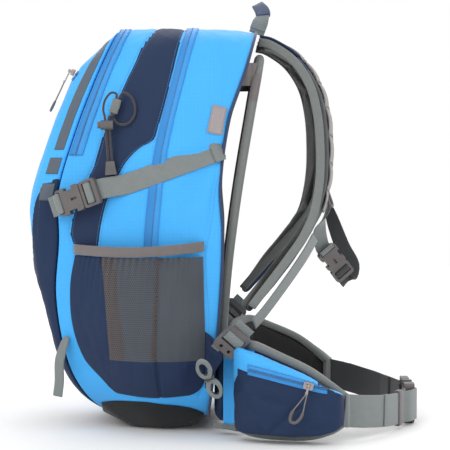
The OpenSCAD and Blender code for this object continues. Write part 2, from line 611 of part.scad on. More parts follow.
// ---------------------------------------------------------------- sternum strap
chest_w = 20;
chest_frame = frame_of([236, -20, 212], [0.58, 0.3, -0.76], [0.3, -0.9, -0.1]);
chest_route = [[237, -80, 317], [239, -64, 312], [232, -50, 294], [223, -40, 268], [219, -33, 247]];
chest_far = [[237, 80, 317], [240, 63, 304], [241, 44, 270], [252, 26, 225], [264, 10, 200],
    [258.5, -2.4, 180.8]];
module sternum_webbing_right() color(grey)
    ribbon(concat(through(chest_route, 2), laced(chest_frame, chest_w, socket_lace, 1, 8)),
        chest_frame[2], chest_w, 1.2);
module sternum_webbing_left() color([0.3, 0.3, 0.3])
    ribbon(concat(through(chest_far, 2), laced(chest_frame, chest_w, plug_lace, 2, 12)),
        chest_frame[2], chest_w, 1.2);
module sternum_socket() color(plastic) at_frame(chest_frame) clip_socket(chest_w);
module sternum_plug() color(plastic) at_frame(chest_frame) clip_plug(chest_w);

main_compartment();
front_compartment();
front_pocket();
base_panel();
zip_tapes();
side_pocket_right();
side_pocket_left();
pocket_hems();
side_label();
reflective_bars();
compression_strap_right();
compression_strap_left();
compression_anchors();
compression_sockets();
compression_plug_right();
compression_plug_left();
pole_tab();
bungee_cord();
cord_lock_body();
cord_lock_button();
cord_end();
ice_axe_loops();
haul_loop();
frame_wire();
frame_sleeve();
back_mesh();
lumbar_pad();
corner_wings();
shoulder_pad_right();
shoulder_pad_left();
strap_webbings();
ladder_locks();
strap_anchors();
webbing_rolls();
hip_fin_right();
hip_fin_left();
hip_pocket_right();
hip_pocket_left();
hip_zip_tapes();
hip_webbing_right();
hip_webbing_left();
hip_socket();
hip_plug();
hip_keepers();
hip_slider_right();
hip_slider_left();
hip_pull_right();
hip_pull_left();
main_slider();
main_pull();
front_slider();
front_pull();
pocket_slider();
pocket_pull();
sternum_webbing_right();
sternum_webbing_left();
sternum_socket();
sternum_plug();
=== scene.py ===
# Hiking daypack: sky and navy ripstop bag, tensioned mesh back, harness and pocketed hip belt.
# +X towards the wearer's back, +Y towards the wearer's left, +Z up. Shapes are worked out in
# millimetres and written to meshes in metres.
import json
import math

import bmesh
import bpy
from mathutils import Matrix, Vector, noise
from mathutils.bvhtree import BVHTree
from mathutils.kdtree import KDTree
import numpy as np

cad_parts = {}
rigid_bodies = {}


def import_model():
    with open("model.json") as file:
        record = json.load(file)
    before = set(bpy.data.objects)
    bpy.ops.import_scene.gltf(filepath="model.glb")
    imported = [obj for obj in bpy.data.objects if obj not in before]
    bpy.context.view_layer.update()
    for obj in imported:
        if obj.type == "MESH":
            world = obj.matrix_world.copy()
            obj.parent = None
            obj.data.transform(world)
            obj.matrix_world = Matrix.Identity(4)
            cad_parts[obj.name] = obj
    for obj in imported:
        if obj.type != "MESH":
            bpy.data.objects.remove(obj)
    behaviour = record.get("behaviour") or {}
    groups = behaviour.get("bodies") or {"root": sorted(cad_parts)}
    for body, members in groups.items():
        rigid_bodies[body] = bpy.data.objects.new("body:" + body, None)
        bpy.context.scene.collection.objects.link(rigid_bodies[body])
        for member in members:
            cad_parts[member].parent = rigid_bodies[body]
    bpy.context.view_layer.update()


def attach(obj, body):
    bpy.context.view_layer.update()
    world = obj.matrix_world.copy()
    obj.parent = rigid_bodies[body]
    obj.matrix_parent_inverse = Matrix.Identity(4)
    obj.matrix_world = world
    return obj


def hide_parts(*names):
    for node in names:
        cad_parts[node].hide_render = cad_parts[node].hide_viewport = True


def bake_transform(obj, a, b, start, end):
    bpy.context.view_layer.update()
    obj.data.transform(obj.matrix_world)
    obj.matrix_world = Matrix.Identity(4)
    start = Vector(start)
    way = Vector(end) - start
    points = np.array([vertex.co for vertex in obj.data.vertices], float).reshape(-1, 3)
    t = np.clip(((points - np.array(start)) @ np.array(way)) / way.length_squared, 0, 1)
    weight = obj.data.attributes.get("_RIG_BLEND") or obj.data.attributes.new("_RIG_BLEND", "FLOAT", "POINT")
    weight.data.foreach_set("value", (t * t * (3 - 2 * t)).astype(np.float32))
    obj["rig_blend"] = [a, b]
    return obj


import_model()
mm = 0.001
print("stage: frame loaded")

# ---- camera and light
view = dict(target=(0.098, 0.0, 0.2535), distance=2.1, elevation=3.0, across=0.585)
camera = bpy.data.objects.new("camera", bpy.data.cameras.new("camera"))
bpy.context.scene.collection.objects.link(camera)
tilt = math.radians(view["elevation"])
camera.location = Vector(view["target"]) + view["distance"] * Vector((0, -math.cos(tilt), math.sin(tilt)))
camera.rotation_euler = (math.pi / 2 - tilt, 0, 0)
camera.data.sensor_width = 36
camera.data.lens = 18 / (view["across"] / 2 / view["distance"])
bpy.context.scene.camera = camera
bpy.context.scene.view_settings.view_transform = "Standard"

studio = dict(
    sky=(1.0, 1.0, 1.0), skyStrength=1.0, aim=(0.08, 0, 0.25),
    lamps=[  # place, size, power, colour
        ((-1.5, -2.0, 2.0), 1.7, 24, (1.0, 0.99, 0.97)),
        ((1.7, -1.5, 1.5), 1.6, 10, (0.97, 0.98, 1.0)),
        ((0.3, 1.6, 2.0), 1.8, 15, (1, 1, 1)),
    ],
)
world = bpy.data.worlds.new("studio")
bpy.context.scene.world = world
world.use_nodes = True
world.node_tree.nodes["Background"].inputs[0].default_value = (*studio["sky"], 1)
world.node_tree.nodes["Background"].inputs[1].default_value = studio["skyStrength"]
for spot, size, power, colour in studio["lamps"]:
    lamp = bpy.data.objects.new("softbox", bpy.data.lights.new("softbox", "AREA"))
    lamp.data.size, lamp.data.energy, lamp.data.color = size, power, colour
    lamp.location = spot
    lamp.rotation_euler = (Vector(studio["aim"]) - Vector(spot)).to_track_quat("-Z", "Y").to_euler()
    bpy.context.scene.collection.objects.link(lamp)


# ---- shapes
def curveAt(keys, value):
    # smooth curve through sorted (key, value) pairs; values are numbers or vectors
    last = len(keys) - 2
    i = 0
    while i < last and value >= keys[i + 1][0]:
        i += 1
    a, b, c, d = keys[max(i - 1, 0)], keys[i], keys[i + 1], keys[min(i + 2, last + 1)]
    h = c[0] - b[0]
    t = max(0.0, min(1.0, (value - b[0]) / h))
    m = (c[1] - a[1]) / (c[0] - a[0]) * h
    n = (d[1] - b[1]) / (d[0] - b[0]) * h
    t2, t3 = t * t, t * t * t
    return (2 * t3 - 3 * t2 + 1) * b[1] + (t3 - 2 * t2 + t) * m + (3 * t2 - 2 * t3) * c[1] + (t3 - t2) * n


def through(points, steps):
    keys = [(i, Vector(p)) for i, p in enumerate(points)]
    return [curveAt(keys, i / steps) for i in range((len(points) - 1) * steps + 1)]


def mix(a, b, t):
    return a + (b - a) * t


def signedPower(v, e):
    return math.copysign(abs(v) ** e, v)


def clamp(v, low=0.0, high=1.0):
    return max(low, min(high, v))


def squircle(angle, power):
    # a point of the rounded square of half width one
    c, q = math.cos(angle), math.sin(angle)
    rho = (abs(c) ** power + abs(q) ** power) ** (1 / power)
    return c / rho, q / rho


def roundedOval(k, count, a, b):
    # point k of count on an oval with squarer corners the smaller a and b are
    return signedPower(math.cos(k * math.tau / count), a), signedPower(math.sin(k * math.tau / count), b)


def bump(distance, width):
    return math.exp(-((distance / width) ** 2))


def flipY(p):
    return Vector((p[0], -p[1], p[2]))


def makeMesh(name, verts, faces, uvs=None):
    mesh = bpy.data.meshes.new(name)
    mesh.from_pydata([Vector(v) * mm for v in verts], [], faces)
    if uvs:
        layer = mesh.uv_layers.new(name="flat")
        for loop in mesh.loops:
            layer.data[loop.index].uv = uvs[loop.vertex_index]
    mesh.shade_smooth()
    obj = bpy.data.objects.new(name, mesh)
    bpy.context.scene.collection.objects.link(obj)
    return obj


def gridMesh(name, rows, ringed=False, capped=False):
    # rows of points as a sheet or, ringed, a tube; the UV map holds lengths along it in metres
    n, m = len(rows[0]), len(rows)
    verts = [p for row in rows for p in row]
    faces = []
    for i in range(m - 1):
        for j in range(n if ringed else n - 1):
            k = (j + 1) % n
            faces.append((i * n + j, (i + 1) * n + j, (i + 1) * n + k, i * n + k))
    if capped:
        faces.append(tuple(range(n)))
        faces.append(tuple((m - 1) * n + j for j in reversed(range(n))))
    middle = rows[m // 2]
    across = [0.0]
    for j in range(1, n):
        across.append(across[-1] + (Vector(middle[j]) - Vector(middle[j - 1])).length)
    along = [0.0]
    for i in range(1, m):
        along.append(along[-1] + (Vector(rows[i][n // 2]) - Vector(rows[i - 1][n // 2])).length)
    uvs = [(across[j] * mm, along[i] * mm) for i in range(m) for j in range(n)]
    return makeMesh(name, verts, faces, uvs)


def squareTo(w, t):
    w, t = Vector(w), Vector(t)
    return (w - w.dot(t) * t).normalized()


def alongPath(path, i):
    return (Vector(path[min(i + 1, len(path) - 1)]) - Vector(path[max(i - 1, 0)])).normalized()


def ribbonMesh(name, path, across, width, thick):
    # flat strap with soft edges; across and width are one value or one for each point
    rows = []
    top = [(-1, 0), (-0.985, 0.8), (-0.94, 1), (-0.5, 1), (0, 1), (0.5, 1), (0.94, 1), (0.985, 0.8), (1, 0)]
    for i, p in enumerate(path):
        t = alongPath(path, i)
        w = squareTo(across[i] if isinstance(across[0], (list, tuple, Vector)) else across, t)
        n = t.cross(w)
        half = (width[i] if isinstance(width, (list, tuple)) else width) / 2
        row = []
        for u, v in top + [(u, -v) for u, v in top[-2:0:-1]]:
            row.append(Vector(p) + w * (u * half) + n * (v * thick / 2))
        rows.append(row)
    return gridMesh(name, rows, ringed=True, capped=True)


def tubeMesh(name, path, radius, sides=12):
    rows = []
    u = None
    for i, p in enumerate(path):
        t = alongPath(path, i)
        u = squareTo(u if u else ((1, 0, 0) if abs(t.y) > 0.9 else (0, 1, 0)), t)
        v = t.cross(u)
        r = radius[i] if isinstance(radius, (list, tuple)) else radius
        turns = [k * math.tau / sides for k in range(sides)]
        rows.append([Vector(p) + r * (math.cos(a) * u + math.sin(a) * v) for a in turns])
    return gridMesh(name, rows, ringed=True, capped=True)


def outward(obj):
    work = bmesh.new()
    work.from_mesh(obj.data)
    bmesh.ops.remove_doubles(work, verts=work.verts, dist=0.00002)
    bmesh.ops.recalc_face_normals(work, faces=work.faces)
    work.to_mesh(obj.data)
    work.free()
    return obj


def applyModifiers(obj):
    graph = bpy.context.evaluated_depsgraph_get()
    made = bpy.data.meshes.new_from_object(obj.evaluated_get(graph))
    obj.modifiers.clear()
    obj.data = made
    return obj


def thicken(obj, thick, offset=-1.0):
    solid = obj.modifiers.new("wall", "SOLIDIFY")
    solid.thickness, solid.offset = thick * mm, offset
    return applyModifiers(obj)


def mirrored(obj, name):
    twin = bpy.data.objects.new(name, obj.data.copy())
    bpy.context.scene.collection.objects.link(twin)
    twin.data.transform(Matrix.Scale(-1, 4, (0, 1, 0)))
    twin.data.flip_normals()
    return twin


def joined(name, parts):
    work = bmesh.new()
    slots = []
    work.loops.layers.uv.new("flat")
    for part in parts:
        start = len(work.faces)
        work.from_mesh(part.data)
        work.faces.ensure_lookup_table()
        for material in part.data.materials:
            if material not in slots:
                slots.append(material)
        worn = list(part.data.materials)
        for face in work.faces[start:]:
            if worn:
                face.material_index = slots.index(worn[min(face.material_index, len(worn) - 1)])
    mesh = bpy.data.meshes.new(name)
    work.to_mesh(mesh)
    work.free()
    for material in slots:
        mesh.materials.append(material)
    for part in parts:
        bpy.data.objects.remove(part)
    obj = bpy.data.objects.new(name, mesh)
    bpy.context.scene.collection.objects.link(obj)
    return obj


def place(obj, material, body="pack", replaces=()):
    if material:
        obj.data.materials.clear()
        obj.data.materials.append(material)
    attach(obj, body)
    if replaces:
        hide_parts(*replaces)
    return obj


def placePair(obj, material, replaces=()):
    # the piece on the right side and its mirror image on the left
    place(obj, material, replaces=replaces)
    place(mirrored(obj, obj.name.replace("Right", "Left")), material, replaces=replaces)


# ---- materials
def newMaterial(name):
    material = bpy.data.materials.new(name)
    material.use_nodes = True
    tree = material.node_tree
    tree.nodes.clear()
    return material, tree.nodes, tree.links


def layOut(nodes, frames):
    # frames: label -> nodes; columns from left to right
    x = -1500
    for label, members in frames.items():
        box = nodes.new("NodeFrame")
        box.label = label
        for k, node in enumerate(members):
            node.parent = box
            node.location = (x, 300 - 260 * k)
        x += 380


def ripstop(name, colour, grid=5.0, contrast=0.16, rough=0.55, crease=0.35, sheen=0.12, gloss=0.35):
    # plain weave cloth with a raised square grid of thicker yarns
    material, nodes, links = newMaterial(name)
    surface = nodes.new("ShaderNodeBsdfPrincipled"); surface.label = "woven nylon"
    out = nodes.new("ShaderNodeOutputMaterial"); out.label = "cloth"
    flat = nodes.new("ShaderNodeUVMap"); flat.label = "lengths along the cloth"; flat.uv_map = "flat"
    yarns = nodes.new("ShaderNodeTexBrick"); yarns.label = "square grid of thick yarns"
    weave = nodes.new("ShaderNodeTexBrick"); weave.label = "over and under of the plain weave"
    where = nodes.new("ShaderNodeTexCoord"); where.label = "place on the pack"
    cloud = nodes.new("ShaderNodeTexNoise"); cloud.label = "uneven dye and light wear"
    fold = nodes.new("ShaderNodeTexNoise"); fold.label = "soft creases"
    shade = nodes.new("ShaderNodeMixRGB"); shade.label = "yarns darker than the ground"
    tint = nodes.new("ShaderNodeMixRGB"); tint.label = "dye over the yarns"
    roughness = nodes.new("ShaderNodeMapRange"); roughness.label = "worn places shine less"
    raise1 = nodes.new("ShaderNodeBump"); raise1.label = "weave relief"
    raise2 = nodes.new("ShaderNodeBump"); raise2.label = "grid relief"
    raise3 = nodes.new("ShaderNodeBump"); raise3.label = "crease relief"
    for brick, size, mortar in ((yarns, grid, 0.12), (weave, 0.7, 0.2)):
        brick.offset, brick.squash = 0, 1
        brick.inputs["Scale"].default_value = 1000
        brick.inputs["Brick Width"].default_value = size
        brick.inputs["Row Height"].default_value = size
        brick.inputs["Mortar Size"].default_value = mortar
        brick.inputs["Mortar Smooth"].default_value = 0.6
        brick.inputs["Color1"].default_value = (1, 1, 1, 1)
        brick.inputs["Color2"].default_value = (0.94, 0.94, 0.94, 1)
        brick.inputs["Mortar"].default_value = (0, 0, 0, 1)
    weave.offset = 0.5
    cloud.inputs["Scale"].default_value = 14
    cloud.inputs["Detail"].default_value = 4
    fold.inputs["Scale"].default_value = 38
    fold.inputs["Detail"].default_value = 5
    fold.inputs["Roughness"].default_value = 0.55
    dark = [c * (1 - contrast) for c in colour]
    shade.inputs["Color1"].default_value = (*dark, 1)
    shade.inputs["Color2"].default_value = (*colour, 1)
    tint.blend_type = "MULTIPLY"
    tint.inputs["Color2"].default_value = (0.86, 0.88, 0.9, 1)
    roughness.inputs["To Min"].default_value = rough - 0.08
    roughness.inputs["To Max"].default_value = rough + 0.12
    raise1.inputs["Strength"].default_value = 0.25
    raise1.inputs["Distance"].default_value = 0.0002
    raise2.inputs["Strength"].default_value = 0.35
    raise2.inputs["Distance"].default_value = 0.0003
    raise2.invert = True
    raise3.inputs["Strength"].default_value = crease
    raise3.inputs["Distance"].default_value = 0.0025
    surface.inputs["Sheen Weight"].default_value = sheen
    surface.inputs["Sheen Roughness"].default_value = 0.4
    surface.inputs["Specular IOR Level"].default_value = gloss
    links.new(flat.outputs["UV"], yarns.inputs["Vector"])
    links.new(flat.outputs["UV"], weave.inputs["Vector"])
    links.new(where.outputs["Object"], cloud.inputs["Vector"])
    links.new(where.outputs["Object"], fold.inputs["Vector"])
    links.new(yarns.outputs["Color"], shade.inputs["Fac"])
    links.new(cloud.outputs["Fac"], tint.inputs["Fac"])
    links.new(shade.outputs["Color"], tint.inputs["Color1"])
    links.new(tint.outputs["Color"], surface.inputs["Base Color"])
    links.new(cloud.outputs["Fac"], roughness.inputs["Value"])
    links.new(roughness.outputs["Result"], surface.inputs["Roughness"])
    links.new(weave.outputs["Fac"], raise1.inputs["Height"])
    links.new(yarns.outputs["Fac"], raise2.inputs["Height"])
    links.new(fold.outputs["Fac"], raise3.inputs["Height"])
    links.new(raise3.outputs["Normal"], raise2.inputs["Normal"])
    links.new(raise2.outputs["Normal"], raise1.inputs["Normal"])
    links.new(raise1.outputs["Normal"], surface.inputs["Normal"])
    links.new(surface.outputs["BSDF"], out.inputs["Surface"])
    layOut(nodes, {"place": [flat, where], "patterns": [yarns, weave, cloud, fold],
                   "colour": [shade, tint, roughness], "relief": [raise3, raise2, raise1], "cloth": [surface, out]})
    return material


def webbing(name, colour, rib=1.6, slant=0.5, rough=0.62, relief=0.5):
    # tape woven in slanting ribs
    material, nodes, links = newMaterial(name)
    surface = nodes.new("ShaderNodeBsdfPrincipled"); surface.label = "webbing yarn"
    out = nodes.new("ShaderNodeOutputMaterial"); out.label = "webbing"
    flat = nodes.new("ShaderNodeUVMap"); flat.label = "lengths along the tape"; flat.uv_map = "flat"
    turn = nodes.new("ShaderNodeMapping"); turn.label = "slant of the ribs"
    ribs = nodes.new("ShaderNodeTexWave"); ribs.label = "ribs across the tape"
    ends = nodes.new("ShaderNodeTexWave"); ends.label = "warp ends along the tape"
    where = nodes.new("ShaderNodeTexCoord"); where.label = "place on the pack"
    fuzz = nodes.new("ShaderNodeTexNoise"); fuzz.label = "fuzzed yarn"
    # painted shade: the colour darkens in the grooves between the ribs, where shade falls; the rib relief below raises
    # the ribs as well
    ribShade = nodes.new("ShaderNodeMixRGB"); ribShade.label = "darker between the ribs"
    worn = nodes.new("ShaderNodeMixRGB"); worn.label = "rubbed paler"
    raise1 = nodes.new("ShaderNodeBump"); raise1.label = "rib relief"
    raise2 = nodes.new("ShaderNodeBump"); raise2.label = "warp relief"
    turn.inputs["Rotation"].default_value = (0, 0, slant)
    ribs.bands_direction, ends.bands_direction = "Y", "X"
    ribs.inputs["Scale"].default_value = 314 / rib
    ends.inputs["Scale"].default_value = 314 / (rib * 0.7)
    ribs.inputs["Distortion"].default_value = 0.6
    fuzz.inputs["Scale"].default_value = 160
    fuzz.inputs["Detail"].default_value = 5
    # painted shade between the ribs: 0.72 of the webbing colour
    ribShade.inputs["Color1"].default_value = (*[c * 0.72 for c in colour], 1)
    ribShade.inputs["Color2"].default_value = (*colour, 1)
    worn.blend_type = "OVERLAY"
    worn.inputs["Color2"].default_value = (0.62, 0.62, 0.62, 1)
    raise1.inputs["Strength"].default_value = relief
    raise1.inputs["Distance"].default_value = 0.0005
    raise2.inputs["Strength"].default_value = relief * 0.6
    raise2.inputs["Distance"].default_value = 0.0003
    surface.inputs["Roughness"].default_value = rough
    surface.inputs["Sheen Weight"].default_value = 0.3
    surface.inputs["Specular IOR Level"].default_value = 0.3
    links.new(flat.outputs["UV"], turn.inputs["Vector"])
    links.new(turn.outputs["Vector"], ribs.inputs["Vector"])
    links.new(flat.outputs["UV"], ends.inputs["Vector"])
    links.new(where.outputs["Object"], fuzz.inputs["Vector"])
    links.new(ribs.outputs["Fac"], ribShade.inputs["Fac"])
    links.new(ribShade.outputs["Color"], worn.inputs["Color1"])
    links.new(fuzz.outputs["Fac"], worn.inputs["Fac"])
    links.new(worn.outputs["Color"], surface.inputs["Base Color"])
    links.new(ends.outputs["Fac"], raise2.inputs["Height"])
    links.new(ribs.outputs["Fac"], raise1.inputs["Height"])
    links.new(raise2.outputs["Normal"], raise1.inputs["Normal"])
    links.new(raise1.outputs["Normal"], surface.inputs["Normal"])
    links.new(surface.outputs["BSDF"], out.inputs["Surface"])
    layOut(nodes, {"place": [flat, turn, where], "patterns": [ribs, ends, fuzz], "colour": [ribShade, worn],
                   "relief": [raise2, raise1], "tape": [surface, out]})
    return material


def moulded(name, colour, rough=0.42, metal=0.0, grain=420, wear=0.12):
    # moulded plastic or cast metal with fine grain and faint rubbing
    material, nodes, links = newMaterial(name)
    surface = nodes.new("ShaderNodeBsdfPrincipled"); surface.label = "moulded face"
    out = nodes.new("ShaderNodeOutputMaterial"); out.label = "moulding"
    where = nodes.new("ShaderNodeTexCoord"); where.label = "place on the piece"
    fine = nodes.new("ShaderNodeTexNoise"); fine.label = "spark-eroded grain"
    rub = nodes.new("ShaderNodeTexNoise"); rub.label = "rubbed places"
    edge = nodes.new("ShaderNodeMixRGB"); edge.label = "paler where rubbed"
    polish = nodes.new("ShaderNodeMapRange"); polish.label = "smoother where rubbed"
    relief = nodes.new("ShaderNodeBump"); relief.label = "grain relief"
    fine.inputs["Scale"].default_value = grain * 4
    fine.inputs["Detail"].default_value = 3
    rub.inputs["Scale"].default_value = 60
    rub.inputs["Detail"].default_value = 6
    edge.inputs["Color1"].default_value = (*colour, 1)
    edge.inputs["Color2"].default_value = (*[mix(c, 0.6, wear) for c in colour], 1)
    polish.inputs["To Min"].default_value = rough + 0.1
    polish.inputs["To Max"].default_value = max(0.1, rough - 0.1)
    relief.inputs["Strength"].default_value = 0.2
    relief.inputs["Distance"].default_value = 0.0002
    surface.inputs["Metallic"].default_value = metal
    links.new(where.outputs["Object"], fine.inputs["Vector"])
    links.new(where.outputs["Object"], rub.inputs["Vector"])
    links.new(rub.outputs["Fac"], edge.inputs["Fac"])
    links.new(rub.outputs["Fac"], polish.inputs["Value"])
    links.new(edge.outputs["Color"], surface.inputs["Base Color"])
    links.new(polish.outputs["Result"], surface.inputs["Roughness"])
    links.new(fine.outputs["Fac"], relief.inputs["Height"])
    links.new(relief.outputs["Normal"], surface.inputs["Normal"])
    links.new(surface.outputs["BSDF"], out.inputs["Surface"])
    layOut(nodes, {"place": [where], "patterns": [fine, rub], "colour": [edge, polish], "relief": [relief],
                   "moulding": [surface, out]})
    return material


def openMesh(name, colour, cell=2.4, hole=0.5, see=1.0, rough=0.7, paintedHoleShade=(0, 0, 0)):
    # knitted net: holes are see-through by the amount see; where they are not, they show a painted shade colour that
    # stands for the dark space behind the net
    material, nodes, links = newMaterial(name)
    surface = nodes.new("ShaderNodeBsdfPrincipled"); surface.label = "net yarn"
    clear = nodes.new("ShaderNodeBsdfTransparent"); clear.label = "open hole"
    join = nodes.new("ShaderNodeMixShader"); join.label = "yarn or hole"
    out = nodes.new("ShaderNodeOutputMaterial"); out.label = "net"
    flat = nodes.new("ShaderNodeUVMap"); flat.label = "lengths along the net"; flat.uv_map = "flat"
    cells = nodes.new("ShaderNodeTexBrick"); cells.label = "net cells"
    where = nodes.new("ShaderNodeTexCoord"); where.label = "place on the pack"
    cloud = nodes.new("ShaderNodeTexNoise"); cloud.label = "uneven knit"
    shade = nodes.new("ShaderNodeMixRGB"); shade.label = "hole shows the backing"
    tint = nodes.new("ShaderNodeMixRGB"); tint.label = "uneven colour"
    amount = nodes.new("ShaderNodeMath"); amount.label = "how open the holes are"
    relief = nodes.new("ShaderNodeBump"); relief.label = "yarn relief"
    cells.offset, cells.squash = 0.5, 1
    cells.inputs["Scale"].default_value = 1000
    cells.inputs["Brick Width"].default_value = cell
    cells.inputs["Row Height"].default_value = cell
    cells.inputs["Mortar Size"].default_value = cell * (1 - hole) / 2
    cells.inputs["Mortar Smooth"].default_value = 0.3
    cloud.inputs["Scale"].default_value = 30
    cloud.inputs["Detail"].default_value = 3
    # painted shade: the holes take a dark colour for the shaded space behind the net
    shade.inputs["Color1"].default_value = (*paintedHoleShade, 1)
    shade.inputs["Color2"].default_value = (*colour, 1)
    tint.blend_type = "MULTIPLY"
    tint.inputs["Color2"].default_value = (0.75, 0.75, 0.75, 1)
    amount.operation = "MULTIPLY_ADD"
    amount.inputs[1].default_value = see
    amount.inputs[2].default_value = 1 - see
    relief.inputs["Strength"].default_value = 0.5
    relief.inputs["Distance"].default_value = 0.0005
    surface.inputs["Roughness"].default_value = rough
    surface.inputs["Sheen Weight"].default_value = 0.2
    surface.inputs["Specular IOR Level"].default_value = 0.25
    links.new(flat.outputs["UV"], cells.inputs["Vector"])
    links.new(where.outputs["Object"], cloud.inputs["Vector"])
    links.new(cells.outputs["Fac"], shade.inputs["Fac"])
    links.new(shade.outputs["Color"], tint.inputs["Color1"])
    links.new(cloud.outputs["Fac"], tint.inputs["Fac"])
    links.new(tint.outputs["Color"], surface.inputs["Base Color"])
    links.new(cells.outputs["Fac"], relief.inputs["Height"])
    links.new(relief.outputs["Normal"], surface.inputs["Normal"])
    links.new(cells.outputs["Fac"], amount.inputs[0])
    links.new(amount.outputs["Value"], join.inputs["Fac"])
    links.new(clear.outputs["BSDF"], join.inputs[1])
    links.new(surface.outputs["BSDF"], join.inputs[2])
    links.new(join.outputs["Shader"], out.inputs["Surface"])
    layOut(nodes, {"place": [flat, where], "patterns": [cells, cloud], "colour": [shade, tint, amount],
                   "relief": [relief], "net": [surface, clear, join, out]})
    return material


finish = dict(
    sky=ripstop("skyRipstop", (0.055, 0.42, 0.90), grid=5.0, contrast=0.2, gloss=0.3),
    navy=ripstop("navyRipstop", (0.017, 0.033, 0.080), grid=5.0, contrast=0.2, rough=0.58, crease=0.5, sheen=0.03,
                 gloss=0.16),
    base=ripstop("coatedBase", (0.008, 0.008, 0.009), grid=2.2, contrast=0.5, rough=0.6),
    # painted light: the pale zip tape is a lit copy of the deeper one, with the same weave and a brighter colour; it
    # goes on the rear strip of the main and front zips and on the upper strip of each hip zip
    tapeLight=ripstop("zipTapePale", (0.035, 0.30, 0.72), grid=1.4, contrast=0.08, rough=0.45, crease=0.1),
    tapeDark=ripstop("zipTapeDeep", (0.026, 0.235, 0.60), grid=1.4, contrast=0.08, rough=0.45, crease=0.1),
    print=ripstop("greyPrint", (0.085, 0.105, 0.135), grid=5.0, contrast=0.05, rough=0.42, crease=0.25),
    grey=webbing("greyWebbing", (0.185, 0.207, 0.207), rib=2.0, slant=0.75),
    binding=webbing("greyBinding", (0.165, 0.18, 0.175), rib=1.1, slant=0.0, relief=0.35),
    hem=webbing("elasticHem", (0.155, 0.135, 0.135), rib=1.2, slant=0.0, relief=0.4),
    navyTape=webbing("navyTape", (0.025, 0.045, 0.11), rib=1.4, slant=0.4, relief=0.3),
    darkTape=webbing("darkWebbing", (0.045, 0.047, 0.052), rib=1.8, slant=0.75),
    label=webbing("wovenPatch", (0.33, 0.29, 0.30), rib=0.8, slant=0.0, relief=0.3),
    daisy=webbing("daisyTape", (0.25, 0.225, 0.22), rib=0.9, slant=0.0, relief=0.3),
    cord=webbing("braidedCord", (0.050, 0.040, 0.042), rib=1.2, slant=0.8, relief=0.5),
    cordLight=webbing("pullCord", (0.20, 0.18, 0.17), rib=0.9, slant=0.8, relief=0.4),
    thread=moulded("thread", (0.03, 0.05, 0.10), rough=0.7),
    greyThread=moulded("greyThread", (0.16, 0.17, 0.17), rough=0.7),
    plastic=moulded("clipPlastic", (0.075, 0.063, 0.064), rough=0.42),
    darkPlastic=moulded("darkPlastic", (0.060, 0.056, 0.058), rough=0.4),
    metal=moulded("castMetal", (0.36, 0.31, 0.30), rough=0.3, metal=0.9),
    steel=moulded("springSteel", (0.5, 0.5, 0.52), rough=0.3, metal=1.0),
    # painted shade: each net's hole colour stands for the shaded space behind it
    pocketNet=openMesh("pocketNet", (0.075, 0.085, 0.105), cell=2.6, hole=0.42, see=0.0, paintedHoleShade=(0.03, 0.035, 0.045)),
    netSingle=openMesh("singleNet", (0.095, 0.082, 0.085), cell=2.6, hole=0.5, see=0.0, paintedHoleShade=(0.02, 0.016, 0.016)),
    netRear=openMesh("rearNet", (0.075, 0.085, 0.105), cell=2.0, hole=0.35, see=0.0, paintedHoleShade=(0.045, 0.05, 0.06)),
    blueThread=moulded("blueThread", (0.03, 0.20, 0.50), rough=0.7),
    backNet=openMesh("backNet", (0.03, 0.03, 0.033), cell=3.2, hole=0.55, see=1.0),
    padFace=ripstop("padFace", (0.055, 0.060, 0.066), grid=2.4, contrast=0.4, rough=0.65, crease=0.3),
    spacer=openMesh("spacerMesh", (0.020, 0.020, 0.022), cell=3.0, hole=0.5, see=0.0, paintedHoleShade=(0.003, 0.003, 0.003)),
)
print("stage: materials made")

# ---- pole-holder cord: shock cord through the tab, both ends in a moulded end piece
poleCord = dict(
    thick=2.8, length=0.286, run=Vector((4, -2, -53)).normalized(),
    first=Vector((-48, -130, 391)), last=Vector((-43.4, -130, 391)), down=(53, 40, 22, 10, 0),
    between=[(-50, -129, 401), (-48, -128, 412), (-41, -127, 421), (-34.5, -126, 420), (-34.3, -125.6, 414),
             (-37.2, -125.6, 405), (-40, -125.6, 396), (-38.4, -125.8, 390.5), (-31, -128.5, 383), (-20, -130, 384),
             (-12, -130.5, 394), (-12, -130, 408), (-18, -129, 418), (-26, -127, 421), (-30.7, -125.8, 415),
             (-33.8, -125.6, 405), (-36.4, -126, 397), (-39.6, -129.3, 393.5)],
)


def buildPoleCord():
    route = [poleCord["first"] + poleCord["run"] * k for k in poleCord["down"]]
    route += [Vector(p) for p in poleCord["between"]]
    route += [poleCord["last"] + poleCord["run"] * k for k in reversed(poleCord["down"])]
    line = through(route, 6)
    data = bpy.data.curves.new("poleCord", "CURVE")
    data.dimensions = "3D"
    data.bevel_depth = poleCord["thick"] / 2 * mm
    data.bevel_resolution = 4
    data.use_fill_caps = True
    spline = data.splines.new("POLY")
    spline.points.add(len(line) - 1)
    for point, p in zip(spline.points, line):
        point.co = (*(p * mm), 1)
    data.materials.append(finish["cord"])
    obj = bpy.data.objects.new("poleCord", data)
    bpy.context.scene.collection.objects.link(obj)

    return obj, line


cord, cordLine = buildPoleCord()
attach(cord, "pack")
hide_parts("bungee_cord")
print("stage: cord")

